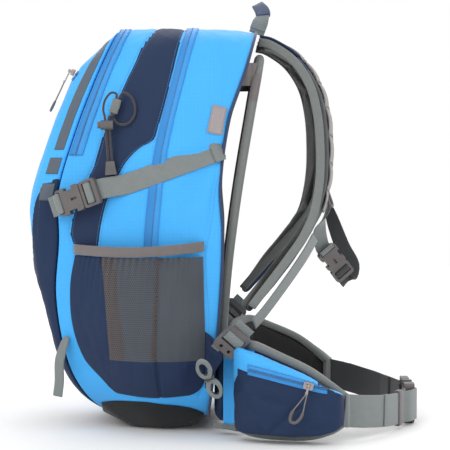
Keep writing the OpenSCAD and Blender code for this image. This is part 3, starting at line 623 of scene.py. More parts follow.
# ---- repeated small things, by geometry nodes
def alongTree(name, shape):
    # puts a small shape every pitch along the edges of the object it is given
    tree = bpy.data.node_groups.new(name, "GeometryNodeTree")
    made = {}
    for socket, kind, value in (("Geometry", "NodeSocketGeometry", None), ("Pitch", "NodeSocketFloat", 0.003),
                                ("Length", "NodeSocketFloat", 0.002), ("Width", "NodeSocketFloat", 0.0006),
                                ("Height", "NodeSocketFloat", 0.0006), ("Turn", "NodeSocketFloat", 0.0),
                                ("Unevenness", "NodeSocketFloat", 0.08), ("Seed", "NodeSocketInt", 3),
                                ("Finish", "NodeSocketMaterial", None)):
        item = tree.interface.new_socket(name=socket, in_out="INPUT", socket_type=kind)
        if value is not None:
            item.default_value = value
        made[socket] = item.identifier
    tree.interface.new_socket(name="Geometry", in_out="OUTPUT", socket_type="NodeSocketGeometry")
    nodes, links = tree.nodes, tree.links
    start = nodes.new("NodeGroupInput"); start.label = "settings"
    path = nodes.new("GeometryNodeMeshToCurve"); path.label = "edges to a path"
    evenly = nodes.new("GeometryNodeResampleCurve"); evenly.label = "one point each pitch"
    way = nodes.new("GeometryNodeInputTangent"); way.label = "path direction"
    turnTo = nodes.new("FunctionNodeAlignEulerToVector"); turnTo.label = "lie along the path"
    turnFace = nodes.new("FunctionNodeAlignEulerToVector"); turnFace.label = "face outwards"
    outwards = nodes.new("GeometryNodeInputNamedAttribute"); outwards.label = "outward direction"
    slew = nodes.new("FunctionNodeRotateEuler"); slew.label = "turn across the path"
    slewBy = nodes.new("ShaderNodeCombineXYZ"); slewBy.label = "turn about the outward axis"
    size = nodes.new("ShaderNodeCombineXYZ"); size.label = "length, width and height"
    vary = nodes.new("FunctionNodeRandomValue"); vary.label = "uneven lengths"
    least = nodes.new("ShaderNodeMath"); least.label = "shortest"
    stretch = nodes.new("ShaderNodeVectorMath"); stretch.label = "this one's size"
    body = nodes.new("GeometryNodeMeshCylinder" if shape == "thread" else "GeometryNodeMeshCube"); body.label = shape
    lay = nodes.new("GeometryNodeTransform"); lay.label = "lay the shape along X"
    spread = nodes.new("GeometryNodeInstanceOnPoints"); spread.label = "one on each point"
    real = nodes.new("GeometryNodeRealizeInstances"); real.label = "real geometry"
    coat = nodes.new("GeometryNodeSetMaterial"); coat.label = "finish"
    end = nodes.new("NodeGroupOutput"); end.label = "result"
    evenly.mode = "LENGTH"
    turnTo.axis, turnFace.axis, turnFace.pivot_axis = "X", "Z", "X"
    outwards.data_type = "FLOAT_VECTOR"
    outwards.inputs["Name"].default_value = "outward"
    slew.space = "LOCAL"
    least.operation = "SUBTRACT"
    least.inputs[0].default_value = 1
    stretch.operation = "SCALE"
    if shape == "thread":
        body.inputs["Vertices"].default_value = 6
        body.inputs["Radius"].default_value = 0.5
        body.inputs["Depth"].default_value = 1
        lay.inputs["Rotation"].default_value = (0, math.pi / 2, 0)
    links.new(start.outputs["Geometry"], path.inputs["Mesh"])
    links.new(path.outputs["Curve"], evenly.inputs["Curve"])
    links.new(start.outputs["Pitch"], evenly.inputs["Length"])
    links.new(way.outputs["Tangent"], turnTo.inputs["Vector"])
    links.new(turnTo.outputs["Rotation"], turnFace.inputs["Rotation"])
    links.new(outwards.outputs["Attribute"], turnFace.inputs["Vector"])
    links.new(turnFace.outputs["Rotation"], slew.inputs["Rotation"])
    links.new(start.outputs["Turn"], slewBy.inputs["Z"])
    links.new(slewBy.outputs["Vector"], slew.inputs["Rotate By"])
    links.new(start.outputs["Length"], size.inputs["X"])
    links.new(start.outputs["Width"], size.inputs["Y"])
    links.new(start.outputs["Height"], size.inputs["Z"])
    links.new(start.outputs["Unevenness"], least.inputs[1])
    links.new(least.outputs["Value"], vary.inputs["Min"])
    links.new(start.outputs["Seed"], vary.inputs["Seed"])
    links.new(size.outputs["Vector"], stretch.inputs[0])
    links.new(vary.outputs["Value"], stretch.inputs["Scale"])
    links.new(body.outputs["Mesh"], lay.inputs["Geometry"])
    links.new(evenly.outputs["Curve"], spread.inputs["Points"])
    links.new(lay.outputs["Geometry"], spread.inputs["Instance"])
    links.new(slew.outputs["Rotation"], spread.inputs["Rotation"])
    links.new(stretch.outputs["Vector"], spread.inputs["Scale"])
    links.new(spread.outputs["Instances"], real.inputs["Geometry"])
    links.new(real.outputs["Geometry"], coat.inputs["Geometry"])
    links.new(start.outputs["Finish"], coat.inputs["Material"])
    links.new(coat.outputs["Geometry"], end.inputs["Geometry"])
    vary.inputs["Max"].default_value = 1
    layOut(nodes, {"settings": [start], "path": [path, evenly, way, outwards],
                   "direction": [turnTo, turnFace, slewBy, slew],
                   "size": [size, least, vary, stretch, body, lay],
                   "placing": [spread, real], "finish": [coat, end]})
    return tree, made


threadTree, threadInput = alongTree("stitchesAlongPath", "thread")
barTree, barInput = alongTree("barsAlongPath", "bar")


def repeated(name, paths, kind, pitch, length, width, height, finishName):
    # paths: lists of (point, outward direction) in mm
    verts, edges, directions = [], [], []
    for path in paths:
        for k, (p, n) in enumerate(path):
            if k:
                edges.append((len(verts) - 1, len(verts)))
            verts.append(Vector(p) * mm)
            directions.append(Vector(n).normalized())
    mesh = bpy.data.meshes.new(name)
    mesh.from_pydata(verts, edges, [])
    layer = mesh.attributes.new("outward", "FLOAT_VECTOR", "POINT")
    for k, n in enumerate(directions):
        layer.data[k].vector = n
    obj = bpy.data.objects.new(name, mesh)
    bpy.context.scene.collection.objects.link(obj)
    run = obj.modifiers.new("along", "NODES")
    tree, named = (threadTree, threadInput) if kind == "thread" else (barTree, barInput)
    run.node_group = tree
    for socket, value in (("Pitch", pitch * mm), ("Length", length * mm), ("Width", width * mm),
                          ("Height", height * mm), ("Finish", finish[finishName])):
        run[named[socket]] = value
    applyModifiers(obj)
    for other in list(obj.data.attributes):
        if other.name == "outward":
            obj.data.attributes.remove(other)
    return obj


# ---- the bag's lines: height against depth, and ring sizes by station
# (station 0 is the back panel, 1 the main zip, 2 the front zip)
bag = dict(
    back=[(0, 74), (40, 79), (90, 85), (170, 92), (250, 95), (310, 92), (390, 103), (450, 123), (500, 137)],
    main=[(0, 6), (230, 8), (290, 13), (360, 23), (440, 42), (500, 57)],
    zip=[(0, -36), (45, -77), (90, -98), (170, -111), (240, -107), (300, -107), (370, -87), (440, -61), (500, -36)],
    face=[(0, -40), (40, -90), (90, -113), (150, -127), (200, -142), (250, -149), (290, -148), (350, -132),
          (400, -115), (450, -89), (480, -69), (500, -48)],
    width=[(0, 132), (1, 140), (2, 104)], top=[(0, 499), (1, 504), (2, 504)],
    bottom=[(0, 14), (1, 14), (2, 16)], square=[(0, 5), (1, 4.4), (2, 3.4)],
    around=448, along=84,
)
seams = dict(  # height against station
    gusset=[(40, 0.17), (139, 0.17), (218, 0.265), (238, 0.24), (293, 0.12), (336, 0.05), (366, 0.01), (408, 0.0),
            (504, 0.0)],
    bandRear=[(220, 1.57), (229, 1.57), (250, 1.557), (293, 1.483), (335, 1.364), (354, 1.245), (363, 1.12),
              (372, 1.098), (403, 1.085), (439, 1.09), (476, 1.107), (504, 1.107)],
    bandFront=[(220, 1.80), (225, 1.80), (249, 1.875), (292, 1.78), (335, 1.686), (372, 1.679), (421, 1.635),
               (446, 1.607), (479, 1.576), (504, 1.484)],
    bandLow=226, pinch=1.5, reach=3.4,
)


def depthAt(s, z):
    if s <= 1:
        return mix(curveAt(bag["back"], z), curveAt(bag["main"], z), s)
    return mix(curveAt(bag["main"], z), curveAt(bag["zip"], z), s - 1)


def stationAt(x, z):
    middle = curveAt(bag["main"], z)
    if x >= middle:
        rear = curveAt(bag["back"], z)
        return (rear - x) / (rear - middle)
    return 1 + (middle - x) / (middle - curveAt(bag["zip"], z))


def ringPoint(s, angle, lift=0.0, r=1.0):
    low, high = curveAt(bag["bottom"], s) - lift, curveAt(bag["top"], s) + lift
    across, up = squircle(angle, curveAt(bag["square"], s))
    y = (curveAt(bag["width"], s) + lift) * across * r
    z = (low + high) / 2 + (high - low) / 2 * up * r
    return Vector((depthAt(s, z), y, z))


def sideY(x, z):
    s = stationAt(x, z)
    low, high = curveAt(bag["bottom"], s), curveAt(bag["top"], s)
    n = curveAt(bag["square"], s)
    f = min(0.999, abs((z - (low + high) / 2) / ((high - low) / 2)))
    return curveAt(bag["width"], s) * (1 - f ** n) ** (1 / n)


def angleAt(s, z):
    low, high = curveAt(bag["bottom"], s), curveAt(bag["top"], s)
    n = curveAt(bag["square"], s)
    f = (z - (low + high) / 2) / ((high - low) / 2)
    return math.atan2(f, (1 - min(0.9999, abs(f)) ** n) ** (1 / n))


def creases(p):
    # soft hollows and finer creases of a lightly filled bag
    a = noise.noise(Vector((p.x * 0.016, p.y * 0.016, p.z * 0.011)) + Vector((3, 1, 7)))
    b = noise.noise(Vector((p.x * 0.05, p.y * 0.04, p.z * 0.022)) + Vector((9, 4, 2)))
    c = noise.noise(Vector((p.x * 0.10, p.y * 0.10, p.z * 0.06)) + Vector((1, 8, 5)))
    return 1.5 * a + 0.9 * b + 0.5 * c


def strapPull(p):
    # folds drawn to the compression strap and its sewn end
    top, low = Vector((91, 351)), Vector((-22, 310))
    q = Vector((p.x, p.z))
    t = clamp((q - top).dot(low - top) / (low - top).length_squared)
    away = (q - top.lerp(low, t)).length
    reach = bump(away - 17, 12) * clamp(abs(p.y) / 60 - 1)
    fan = math.sin(6.5 * math.atan2(p.z - 345, p.x - 100) + 0.02 * p.x)
    end = math.hypot(p.x - 88, p.z - 350)
    return -2.2 * bump(away, 14) + 1.2 * reach + 1.0 * fan * bump(end - 34, 22) * clamp(abs(p.y) / 60 - 1)


def navyBand(p):
    rear = depthAt(curveAt(seams["bandRear"], p.z), p.z) - p.x
    front = p.x - depthAt(curveAt(seams["bandFront"], p.z), p.z)
    return min(rear, front, p.z - seams["bandLow"])


def gusset(p):
    return p.x - depthAt(curveAt(seams["gusset"], p.z), p.z)


def cutAlong(work, field, keep=lambda p: True):
    # new edges where the field passes through nought, so that a seam or colour edge runs clean
    value = {v: field(v.co) if keep(v.co) else None for v in work.verts}
    fresh = [v for v, g in value.items() if g is not None and abs(g) < 0.06]
    touched = set(fresh)
    for edge in list(work.edges):
        a, b = edge.verts
        ga, gb = value[a], value[b]
        if ga is None or gb is None or a in touched or b in touched or ga * gb >= 0:
            continue
        fresh.append(bmesh.utils.edge_split(edge, a, ga / (ga - gb))[1])
    bmesh.ops.connect_verts(work, verts=fresh)


def loftFaces(work, rows):
    rings = [[work.verts.new(p) for p in row] for row in rows]
    n = len(rings[0])
    for a, b in zip(rings, rings[1:]):
        for j in range(n):
            k = (j + 1) % n
            work.faces.new((a[j], b[j], b[k], a[k]))
    work.faces.new(rings[0])
    work.faces.new(list(reversed(rings[-1])))


def boxUv(mesh):
    # flat lengths in metres, taken square to each face's main direction
    layer = mesh.uv_layers.get("flat") or mesh.uv_layers.new(name="flat")
    for face in mesh.polygons:
        n = face.normal
        ax, ay, az = abs(n.x), abs(n.y), abs(n.z)
        a, b = (0, 2) if ay >= ax and ay >= az else ((1, 2) if ax >= az else (0, 1))
        for k in face.loop_indices:
            p = mesh.vertices[mesh.loops[k].vertex_index].co
            layer.data[k].uv = (p[a], p[b])


def finishBmesh(work, name, slots):
    # from millimetres to a mesh object in metres, with box-mapped lengths
    bmesh.ops.recalc_face_normals(work, faces=work.faces)
    bmesh.ops.scale(work, vec=(mm, mm, mm), verts=work.verts)
    mesh = bpy.data.meshes.new(name)
    work.to_mesh(mesh)
    work.free()
    for key in slots:
        mesh.materials.append(finish[key])
    mesh.shade_smooth()
    boxUv(mesh)
    obj = bpy.data.objects.new(name, mesh)
    bpy.context.scene.collection.objects.link(obj)
    return obj


def surfaceOf(obj):
    # search tree over a finished mesh, in mm
    return BVHTree.FromPolygons([v.co / mm for v in obj.data.vertices], [list(p.vertices) for p in obj.data.polygons])


def onto(tree, p, lift=0.0):
    spot, n, _, _ = tree.find_nearest(Vector(p))
    return spot + n * lift, n


def drapedPath(tree, points, lift=0.25):
    return [onto(tree, p, lift) for p in points]


def drapedSheet(name, tree, rows, thick, lift=0.2):
    # a thin piece laid on a surface, its underside just clear of it
    under = [[onto(tree, p, lift)[0] for p in row] for row in rows]
    over = [[onto(tree, p, lift + thick)[0] for p in row] for row in rows]
    sheets = [u + o[::-1] for u, o in zip(under, over)]
    return outward(gridMesh(name, sheets, ringed=True, capped=True))


# ---- bag shell
def bagShell():
    work = bmesh.new()
    around = [k * math.tau / bag["around"] for k in range(bag["around"])]
    rows = [[ringPoint(0, a, 0, r) for a in around] for r in (0.02, 0.15, 0.3, 0.45, 0.6, 0.72, 0.82, 0.9, 0.96)]
    for i in range(bag["along"] + 1):
        rows.append([ringPoint(2 * i / bag["along"], a) for a in around])
    rows += [[ringPoint(2, a, 0, r) for a in around] for r in (0.9, 0.6, 0.3, 0.02)]
    loftFaces(work, rows)
    onSide = lambda p: abs(p.y) > 40 or p.z > 440
    cutAlong(work, navyBand, onSide)
    cutAlong(work, gusset, lambda p: abs(p.y) > 60 and 46 < p.z < 405)
    bmesh.ops.recalc_face_normals(work, faces=work.faces)
    work.normal_update()
    moves = []
    for v in work.verts:
        p = v.co
        s = clamp(stationAt(p.x, p.z), 0, 2)
        lift = creases(p) * clamp(min(s * 6, (2 - s) * 9)) * (1 - 0.85 * bump(s - 0.99, 0.11))
        lift += 1.2 * math.sin(math.pi * clamp(s)) + 0.8 * math.sin(math.pi * clamp(s - 1))
        if abs(p.y) > 60 or p.z > 440:
            lift -= seams["pinch"] * bump(navyBand(p), seams["reach"])
        if abs(p.y) > 60 and 46 < p.z < 400:
            lift -= 1.3 * bump(gusset(p), 3.0)
        lift -= 1.4 * bump(s, 0.03)
        lift += strapPull(p)
        if p.y < -60:
            lift -= 1.9 * bump(p.x + 44, 17) * bump(p.z - 350, 22)  # room for the cord lock's travel
        if p.z < 60:
            lift = min(lift, 0.4)
        moves.append(v.normal * lift * (0.3 if v.normal.x > 0.75 else 1))
    for v, move in zip(list(work.verts), moves):
        v.co += move
    for face in work.faces:
        p = face.calc_center_median()
        s = stationAt(p.x, p.z)
        if s < 0.035 and face.normal.x > 0.72:
            face.material_index = 2
        elif s > 1 and (abs(p.y) > 40 or p.z > 440) and navyBand(p) > 0:
            face.material_index = 1
    return finishBmesh(work, "bagShell", ["sky", "navy", "spacer"])


shell = place(bagShell(), None, replaces=("main_compartment", "front_compartment"))
print("stage: bag shell", len(shell.data.polygons))

# ---- front pocket, with its lower panel of the darker cloth
pocket = dict(
    rims=[(0.0, (0.05, 0.0)), (0.06, (0.5, 0.0)), (0.12, (0.93, 0.0)), (0.16, (1.0, 0.03)), (0.28, (0.995, 0.3)),
          (0.42, (0.955, 0.62)), (0.54, (0.88, 0.85)), (0.68, (0.7, 0.98)), (0.84, (0.35, 1.0)), (1.0, (0.03, 1.0))],
    lowPanel=[(0, 190), (30, 191), (60, 196), (75, 206), (88, 256), (96, 306), (104, 318), (120, 320)],
    square=3.4, half=100, low=20.0, high=500.0, zipHeight=447, step=2.4,
)


def pocketPoint(angle, t):
    keys = [(k, Vector((v[0], v[1], 0))) for k, v in pocket["rims"]]
    r, bulge, _ = curveAt(keys, t)
    across, up = squircle(angle, pocket["square"])
    y = pocket["half"] * across * r
    z = (pocket["low"] + pocket["high"]) / 2 + (pocket["high"] - pocket["low"]) / 2 * up * r
    return Vector((mix(curveAt(bag["zip"], z) - 1.6, curveAt(bag["face"], z), bulge), y, z))


def lowPanel(p):
    # above nought over the darker lower panel
    return curveAt(pocket["lowPanel"], abs(p.y)) - p.z


def frontPocket():
    work = bmesh.new()
    around = [k * math.tau / 384 for k in range(384)]
    loftFaces(work, [[pocketPoint(a, t / 64) for a in around] for t in range(65)])
    cutAlong(work, lowPanel, lambda p: p.x < -60)
    bmesh.ops.recalc_face_normals(work, faces=work.faces)
    work.normal_update()
    moves = []
    for v in work.verts:
        p = v.co
        out = clamp((curveAt(bag["zip"], p.z) - 2 - p.x) / 12)
        g = lowPanel(p)
        lift = out * creases(p + Vector((200, 0, 0)))
        lift += out * (pocket["step"] * clamp(0.5 + g / 5) - pocket["step"] - 1.2 * bump(g - 1.5, 2.5))
        lift += out * 1.6 * noise.noise(Vector((p.y * 0.02, p.z * 0.07, 4))) * clamp(g / 30) * clamp(2 - g / 60)
        lift -= out * 1.3 * bump(p.z - pocket["zipHeight"], 5) * clamp((80 - abs(p.y)) / 10)
        # the parked slider holds the cloth out at the right end of the zip
        lift += out * 4.2 * bump(p.y + 56, 20) * bump(p.z - pocket["zipHeight"], 26)
        moves.append(v.normal * lift)
    for v, move in zip(list(work.verts), moves):
        v.co += move
    for face in work.faces:
        p = face.calc_center_median()
        if lowPanel(p) > 0:
            face.material_index = 1
    return finishBmesh(work, "frontPocketShell", ["sky", "navy"])


front = place(frontPocket(), None, replaces=("front_pocket",))
shellTree, frontTree = surfaceOf(shell), surfaceOf(front)
print("stage: front pocket")

# ---- side pockets: dark cloth in front and below, net behind, gathered into an elastic hem
sidePocket = dict(
    low=46, high=222, bulge=24, hemWidth=12.5, hemThick=3.0,
    leftEdge=[(46, -28), (52, -40), (70, -57), (94, -77), (137, -91), (185, -93), (222, -87)],
    rightEdge=[(46, 44), (53, 62), (66, 72), (100, 74), (222, 71.5)],
    netFront=[(46, -43), (94, -43), (160, -47), (222, -52)],
    pleat=[(46, 19.5), (94, 15), (172, 17), (222, 19.5)],
    netLow=95, single=19, gathers=23,
)


def pocketOuter(u, v, gathered=True):
    z = mix(sidePocket["low"] + 3.5 * (2 * u - 1) ** 2 * (1 - v), sidePocket["high"], v)
    x = mix(curveAt(sidePocket["leftEdge"], z), curveAt(sidePocket["rightEdge"], z), u)
    swell = max(0, math.sin(math.pi * u)) ** 0.7 * min(1, v * 2.2) ** 0.6
    y = sideY(x, z) + 1.4 + sidePocket["bulge"] * swell
    if gathered:
        edge = clamp(min(u, 1 - u) * 9)
        wave = math.sin(math.tau * sidePocket["gathers"] * u + 2.2 * math.sin(7 * u) + 1.5 * v)
        y += edge * 1.3 * wave * math.exp(-(1 - v) / 0.13)
        q = Vector((x * 0.045, z * 0.016, 2.5))
        front = clamp((curveAt(sidePocket["netFront"], z) - x) / 14)
        y += edge * clamp(v * 5) * (2.6 * noise.noise(q) + 1.0 * noise.noise(q * 2.7))
        y += edge * front * 1.8 * noise.noise(Vector((x * 0.09 + z * 0.03, z * 0.05 - x * 0.02, 6)))
        y -= edge * 2.8 * bump(x - curveAt(sidePocket["pleat"], z), 2.4)
        y -= edge * 0.9 * bump(z - sidePocket["netLow"], 2.5) + 0.8 * bump(x - curveAt(sidePocket["netFront"], z), 2.2)
    return Vector((x, -y, z))


def buildSidePocket():
    work = bmesh.new()
    across, up = 170, 110
    sheet = [[pocketOuter(j / across, i / up) for j in range(across + 1)] for i in range(up + 1)]
    verts = [[work.verts.new(p) for p in row] for row in sheet]
    for i in range(up):
        for j in range(across):
            work.faces.new((verts[i][j], verts[i][j + 1], verts[i + 1][j + 1], verts[i + 1][j]))
    netFront = lambda p: p.x - curveAt(sidePocket["netFront"], p.z)
    netLow = lambda p: p.z - sidePocket["netLow"]
    pleat = lambda p: p.x - curveAt(sidePocket["pleat"], p.z)
    net = lambda p: min(netFront(p), netLow(p))
    single = lambda p: max(min(netFront(p), sidePocket["single"] - netFront(p) + 0.02 * (95 - p.z)),
                           min(-pleat(p), pleat(p) + 7 - 0.03 * (p.z - 95)))
    cutAlong(work, net)
    cutAlong(work, pleat)
    cutAlong(work, single, lambda p: p.z > 90)
    for face in work.faces:
        p = face.calc_center_median()
        if net(p) > 0:
            face.material_index = 2 if single(p) > 0 else (3 if pleat(p) > 0 else 1)
    obj = finishBmesh(work, "sidePocketRight", ["navy", "pocketNet", "netSingle", "netRear"])
    obj.data.polygons.foreach_set("use_smooth", [True] * len(obj.data.polygons))
    if sum(p.normal.y for p in obj.data.polygons) > 0:
        obj.data.flip_normals()
    thicken(obj, 0.9)
    boxUv(obj.data)
    return obj


pocketRight = buildSidePocket()
pocketLeft = mirrored(pocketRight, "sidePocketLeft")
for piece, node in ((pocketRight, "side_pocket_right"), (pocketLeft, "side_pocket_left")):
    place(piece, None, replaces=(node,))

hemPath = []
for k in range(61):
    u = k / 60
    p = pocketOuter(u, 1, gathered=False)
    hemPath.append(Vector((p.x, p.y - 0.7, sidePocket["high"] + 10.2 - 3 * math.sin(math.pi * u) + 5 * (u - 0.5))))
hem = ribbonMesh("pocketHemRight", hemPath, (0, 0, 1), sidePocket["hemWidth"], sidePocket["hemThick"])
placePair(hem, finish["hem"], replaces=("pocket_hems",))
hemStitch = [[(p + Vector((0, -1.7, 2.0 - sidePocket["hemWidth"] / 2)), (0, -1, 0)) for p in hemPath[1:-1]]]
stitchHem = repeated("hemStitches", hemStitch, "thread", 2.6, 2.0, 0.55, 0.55, "greyThread")
place(joined("hemStitchesBoth", [stitchHem, mirrored(stitchHem, "hemStitchesL")]), None)
print("stage: side pockets")

# ---- main and front zips: two laminated strips with the coil showing between them
zips = dict(strip=1.0, lift=0.35, coilPitch=1.5, coilWidth=1.3, steps=220,
            across=(0, 0.03, 0.1, 0.3, 0.5, 0.7, 0.9, 0.97, 1))


def bandAngles(s, lowest, count):
    start = angleAt(s, lowest)
    return [mix(start, math.pi - start, k / (count - 1)) for k in range(count)]


def zipOnBag(name, middle, rearEdge, frontEdge, lowest, slit=0.0065):
    angles = bandAngles(middle, lowest, zips["steps"])
    pieces = []
    # painted light: the rear strip takes the paler, lit copy of the tape
    for tag, a, b, key in (("Rear", rearEdge, middle - slit, "tapeLight"),
                           ("Front", middle + slit, frontEdge, "tapeDark")):
        rows = [[ringPoint(min(mix(a, b, t), 2), angle) for t in zips["across"]] for angle in angles]
        strip = drapedSheet(name + tag, shellTree, rows, zips["strip"], zips["lift"])
        pieces.append(place(strip, finish[key]))
    line = drapedPath(shellTree, [ringPoint(middle, a) for a in angles], 0.9)
    middleLine = [p for p, n in line]
    crosswise = [alongPath(middleLine, i).cross(n) for i, (p, n) in enumerate(line)]
    core = ribbonMesh(name + "Core", middleLine, crosswise, 1.5, 0.7)
    pieces.append(place(core, finish["thread"]))
    coil = repeated(name + "Coil", [[(p + n * 0.55, n) for p, n in line]], "bar",
                    zips["coilPitch"], 0.75, zips["coilWidth"], 0.6, "blueThread")
    pieces.append(place(coil, None))
    rows = []
    for edge, inner in ((rearEdge, 0.012), (frontEdge, -0.012)):
        seam = [ringPoint(min(edge + inner, 2), a) for a in angles[1:-1]]
        rows.append(drapedPath(shellTree, seam, 1.5))
    stitches = repeated(name + "Stitches", rows, "thread", 3.0, 2.2, 0.5, 0.5, "blueThread")
    pieces.append(place(stitches, None))
    return pieces


mainZip = zipOnBag("mainZip", 0.99, 0.905, 1.075, 101)
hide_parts("zip_tapes")
zipOnBag("frontZip", 1.915, 1.84, 1.99, 345, slit=0.009)

# horizontal zip of the front pocket
line = drapedPath(frontTree, [(-90, y, pocket["zipHeight"]) for y in range(-68, 69, 2)], 0.6)
for tag, off in (("Up", 4.2), ("Low", -4.2)):
    rows = [[Vector((-95, y, pocket["zipHeight"] + off + w)) for w in (-3.3, -3.1, -1.5, 1.5, 3.1, 3.3)]
            for y in range(-70, 71, 2)]
    place(drapedSheet("pocketZip" + tag, frontTree, rows, 0.9, 0.3), finish["tapeDark"])
core = ribbonMesh("pocketZipCore", [p for p, n in line], (0, 0, 1), 2.6, 0.8)
place(core, finish["thread"])
coil = repeated("pocketZipCoil", [[(p + n * 0.5, n) for p, n in line]], "bar", 1.5, 0.75, 1.9, 0.9, "thread")
place(coil, None)
print("stage: zips")

# ---- seams of the bag: double rows of stitches and a corded edge at the back
stitchRows = []
for side in (-1, 1):
    for key, low, high, offsets in (("bandRear", 232, 498, (2.4, -2.6)), ("bandFront", 238, 498, (-2.4, 2.6)),
                                    ("gusset", 60, 398, (-2.6,))):
        for off in offsets:
            row = []
            for k in range(90):
                z = mix(low, high, k / 89)
                x = depthAt(curveAt(seams[key], z), z) - off
                row.append((x, side * sideY(x, z), z))
            stitchRows.append(drapedPath(shellTree, row, 0.1))
for s, off in ((1.107, 0.012), (1.484, -0.02)):
    row = [ringPoint(s - off, a) for a in bandAngles(s, 500, 70)]
    stitchRows.append(drapedPath(shellTree, row, 0.1))
place(repeated("bagStitches", stitchRows, "thread", 3.2, 2.3, 0.5, 0.45, "blueThread"), None)

edgeRing = [ringPoint(0, k * math.tau / 200, -0.2) + Vector((0.6, 0, 0)) for k in range(201)]
place(outward(tubeMesh("backPiping", edgeRing, 1.9, 10)), finish["navyTape"])

row = []
for k in range(121):
    y = mix(-97, 97, k / 120)
    row.append((-160 if abs(y) < 80 else -130, y, curveAt(pocket["lowPanel"], abs(y)) - 2.6))
panelRow = drapedPath(frontTree, row, 0.12)
place(repeated("pocketStitches", [panelRow], "thread", 3.2, 2.3, 0.5, 0.45, "thread"), None)
print("stage: seams")

# ---- woven patch, printed bars and axe loops
trim = dict(
    patchAt=(88, 388), patchSize=(18, 34), patchTurn=math.radians(12), patchHem=1.6,
    bars=[(488, 352, 13), (342, 322, 16.5), (310, 289, 17)], barStep=2.5, barAcross=(0.93, -0.37, 0),
)


def patchPoint(a, b):
    x = trim["patchAt"][0] + a * math.cos(trim["patchTurn"]) + b * math.sin(trim["patchTurn"])
    z = trim["patchAt"][1] - a * math.sin(trim["patchTurn"]) + b * math.cos(trim["patchTurn"])
    return Vector((x, -sideY(x, z), z))


wide, tall = trim["patchSize"]
rows = [[patchPoint(wide * (j / 12 - 0.5), tall * (k / 20 - 0.5)) for j in range(13)] for k in range(21)]
place(drapedSheet("sidePatch", shellTree, rows, 1.1, 0.2), finish["label"], replaces=("side_label",))
a, b = wide / 2 - trim["patchHem"], tall / 2 - trim["patchHem"]
border = []
for start, stop, count in (((-a, -b), (-a, b), 20), ((-a, b), (a, b), 10),
                           ((a, b), (a, -b), 20), ((a, -b), (-a, -b), 10)):
    for k in range(count):
        border.append(patchPoint(mix(start[0], stop[0], k / count), mix(start[1], stop[1], k / count)))
border.append(patchPoint(-a, -b))
stitches = repeated("patchStitches", [drapedPath(shellTree, border, 1.3)], "thread", 1.5, 1.2, 0.4, 0.4, "greyThread")
place(stitches, None)


def edgePoint(z):
    share = 0.977  # how far out on the pocket's face the printed bars run
    f = (z - (pocket["low"] + pocket["high"]) / 2) / ((pocket["high"] - pocket["low"]) / 2) / share
    y = pocket["half"] * share * (1 - min(0.999, abs(f)) ** pocket["square"]) ** (1 / pocket["square"])
    return Vector((mix(curveAt(bag["zip"], z), curveAt(bag["face"], z), 0.38), -y, z))


bars = []
for high, low, width in trim["bars"]:
    count = int((high - low) / trim["barStep"])
    rows = [[edgePoint(mix(low, high, k / count)) + Vector(trim["barAcross"]) * width * w
             for w in (-0.5, -0.45, -0.25, 0, 0.25, 0.45, 0.5)] for k in range(count + 1)]
    for side in (1, -1):
        bar = drapedSheet("bar", frontTree, [[Vector((p.x, p.y * side, p.z)) for p in row] for row in rows], 0.6, 0.15)
        bar.data.materials.append(finish["print"])
        bars.append(bar)
place(joined("reflectiveBars", bars), None, replaces=("reflective_bars",))

loopPath = through([(-97, -106, 120), (-101, -108, 112), (-107, -108, 90), (-107.5, -106, 66), (-110, -103, 46)], 8)
loopWidth = [mix(7, 12, clamp(k / 14)) for k in range(len(loopPath))]
axeRight = ribbonMesh("axeLoopRight", loopPath, (1, -0.3, 0), loopWidth, 2.6)
placePair(axeRight, finish["grey"], replaces=("ice_axe_loops",))
print("stage: trim")


# ---- side-release clips and the webbing laced through them
def frameOf(at, a, up):
    x = Vector(a).normalized()
    z = squareTo(up, x)
    return Vector(at), x, z.cross(x), z


def inFrame(f, p):
    return f[0] + p[0] * f[1] + p[1] * f[2] + p[2] * f[3]


def laced(f, width, route, a, b):
    k = (width + 15) / 40
    return [inFrame(f, (k * route[i][0], 0, k * route[i][1])) for i in range(a, b + 1)]


strap = dict(
    width=25, thick=1.5, top=(91, 351), low=(-22, 310),
    clip=frameOf((-89, -125, 291), (0.86, -0.34, 0.33), (-0.35, -0.93, 0)),
    socketLace=[(-30, -3.6), (-23, -5), (-17, -6), (-14.3, -5.7), (-13.6, -2), (-13.6, 2), (-14.3, 5.7),
                (-17, 6), (-20.5, 4.4), (-22.5, 0), (-25.5, -1.6), (-31, -1.2)],
    plugLace=[(52, -4.8), (42, -5.1), (34.5, -5.1), (31.5, -4.3), (30.4, 0), (29.3, 4.3), (27.4, 5.2),
              (24.4, 5.2), (22.5, 4.3), (21.4, 0), (20.3, -4.3), (18, -5.3), (10, -6.6)],
)


def strapPoint(t):
    x, z = mix(strap["top"][0], strap["low"][0], t), mix(strap["top"][1], strap["low"][1], t)
    return onto(shellTree, (x, -sideY(x, z), z), 0.2 + 2.2 * t)[0] + Vector((0, -0.8, 0))


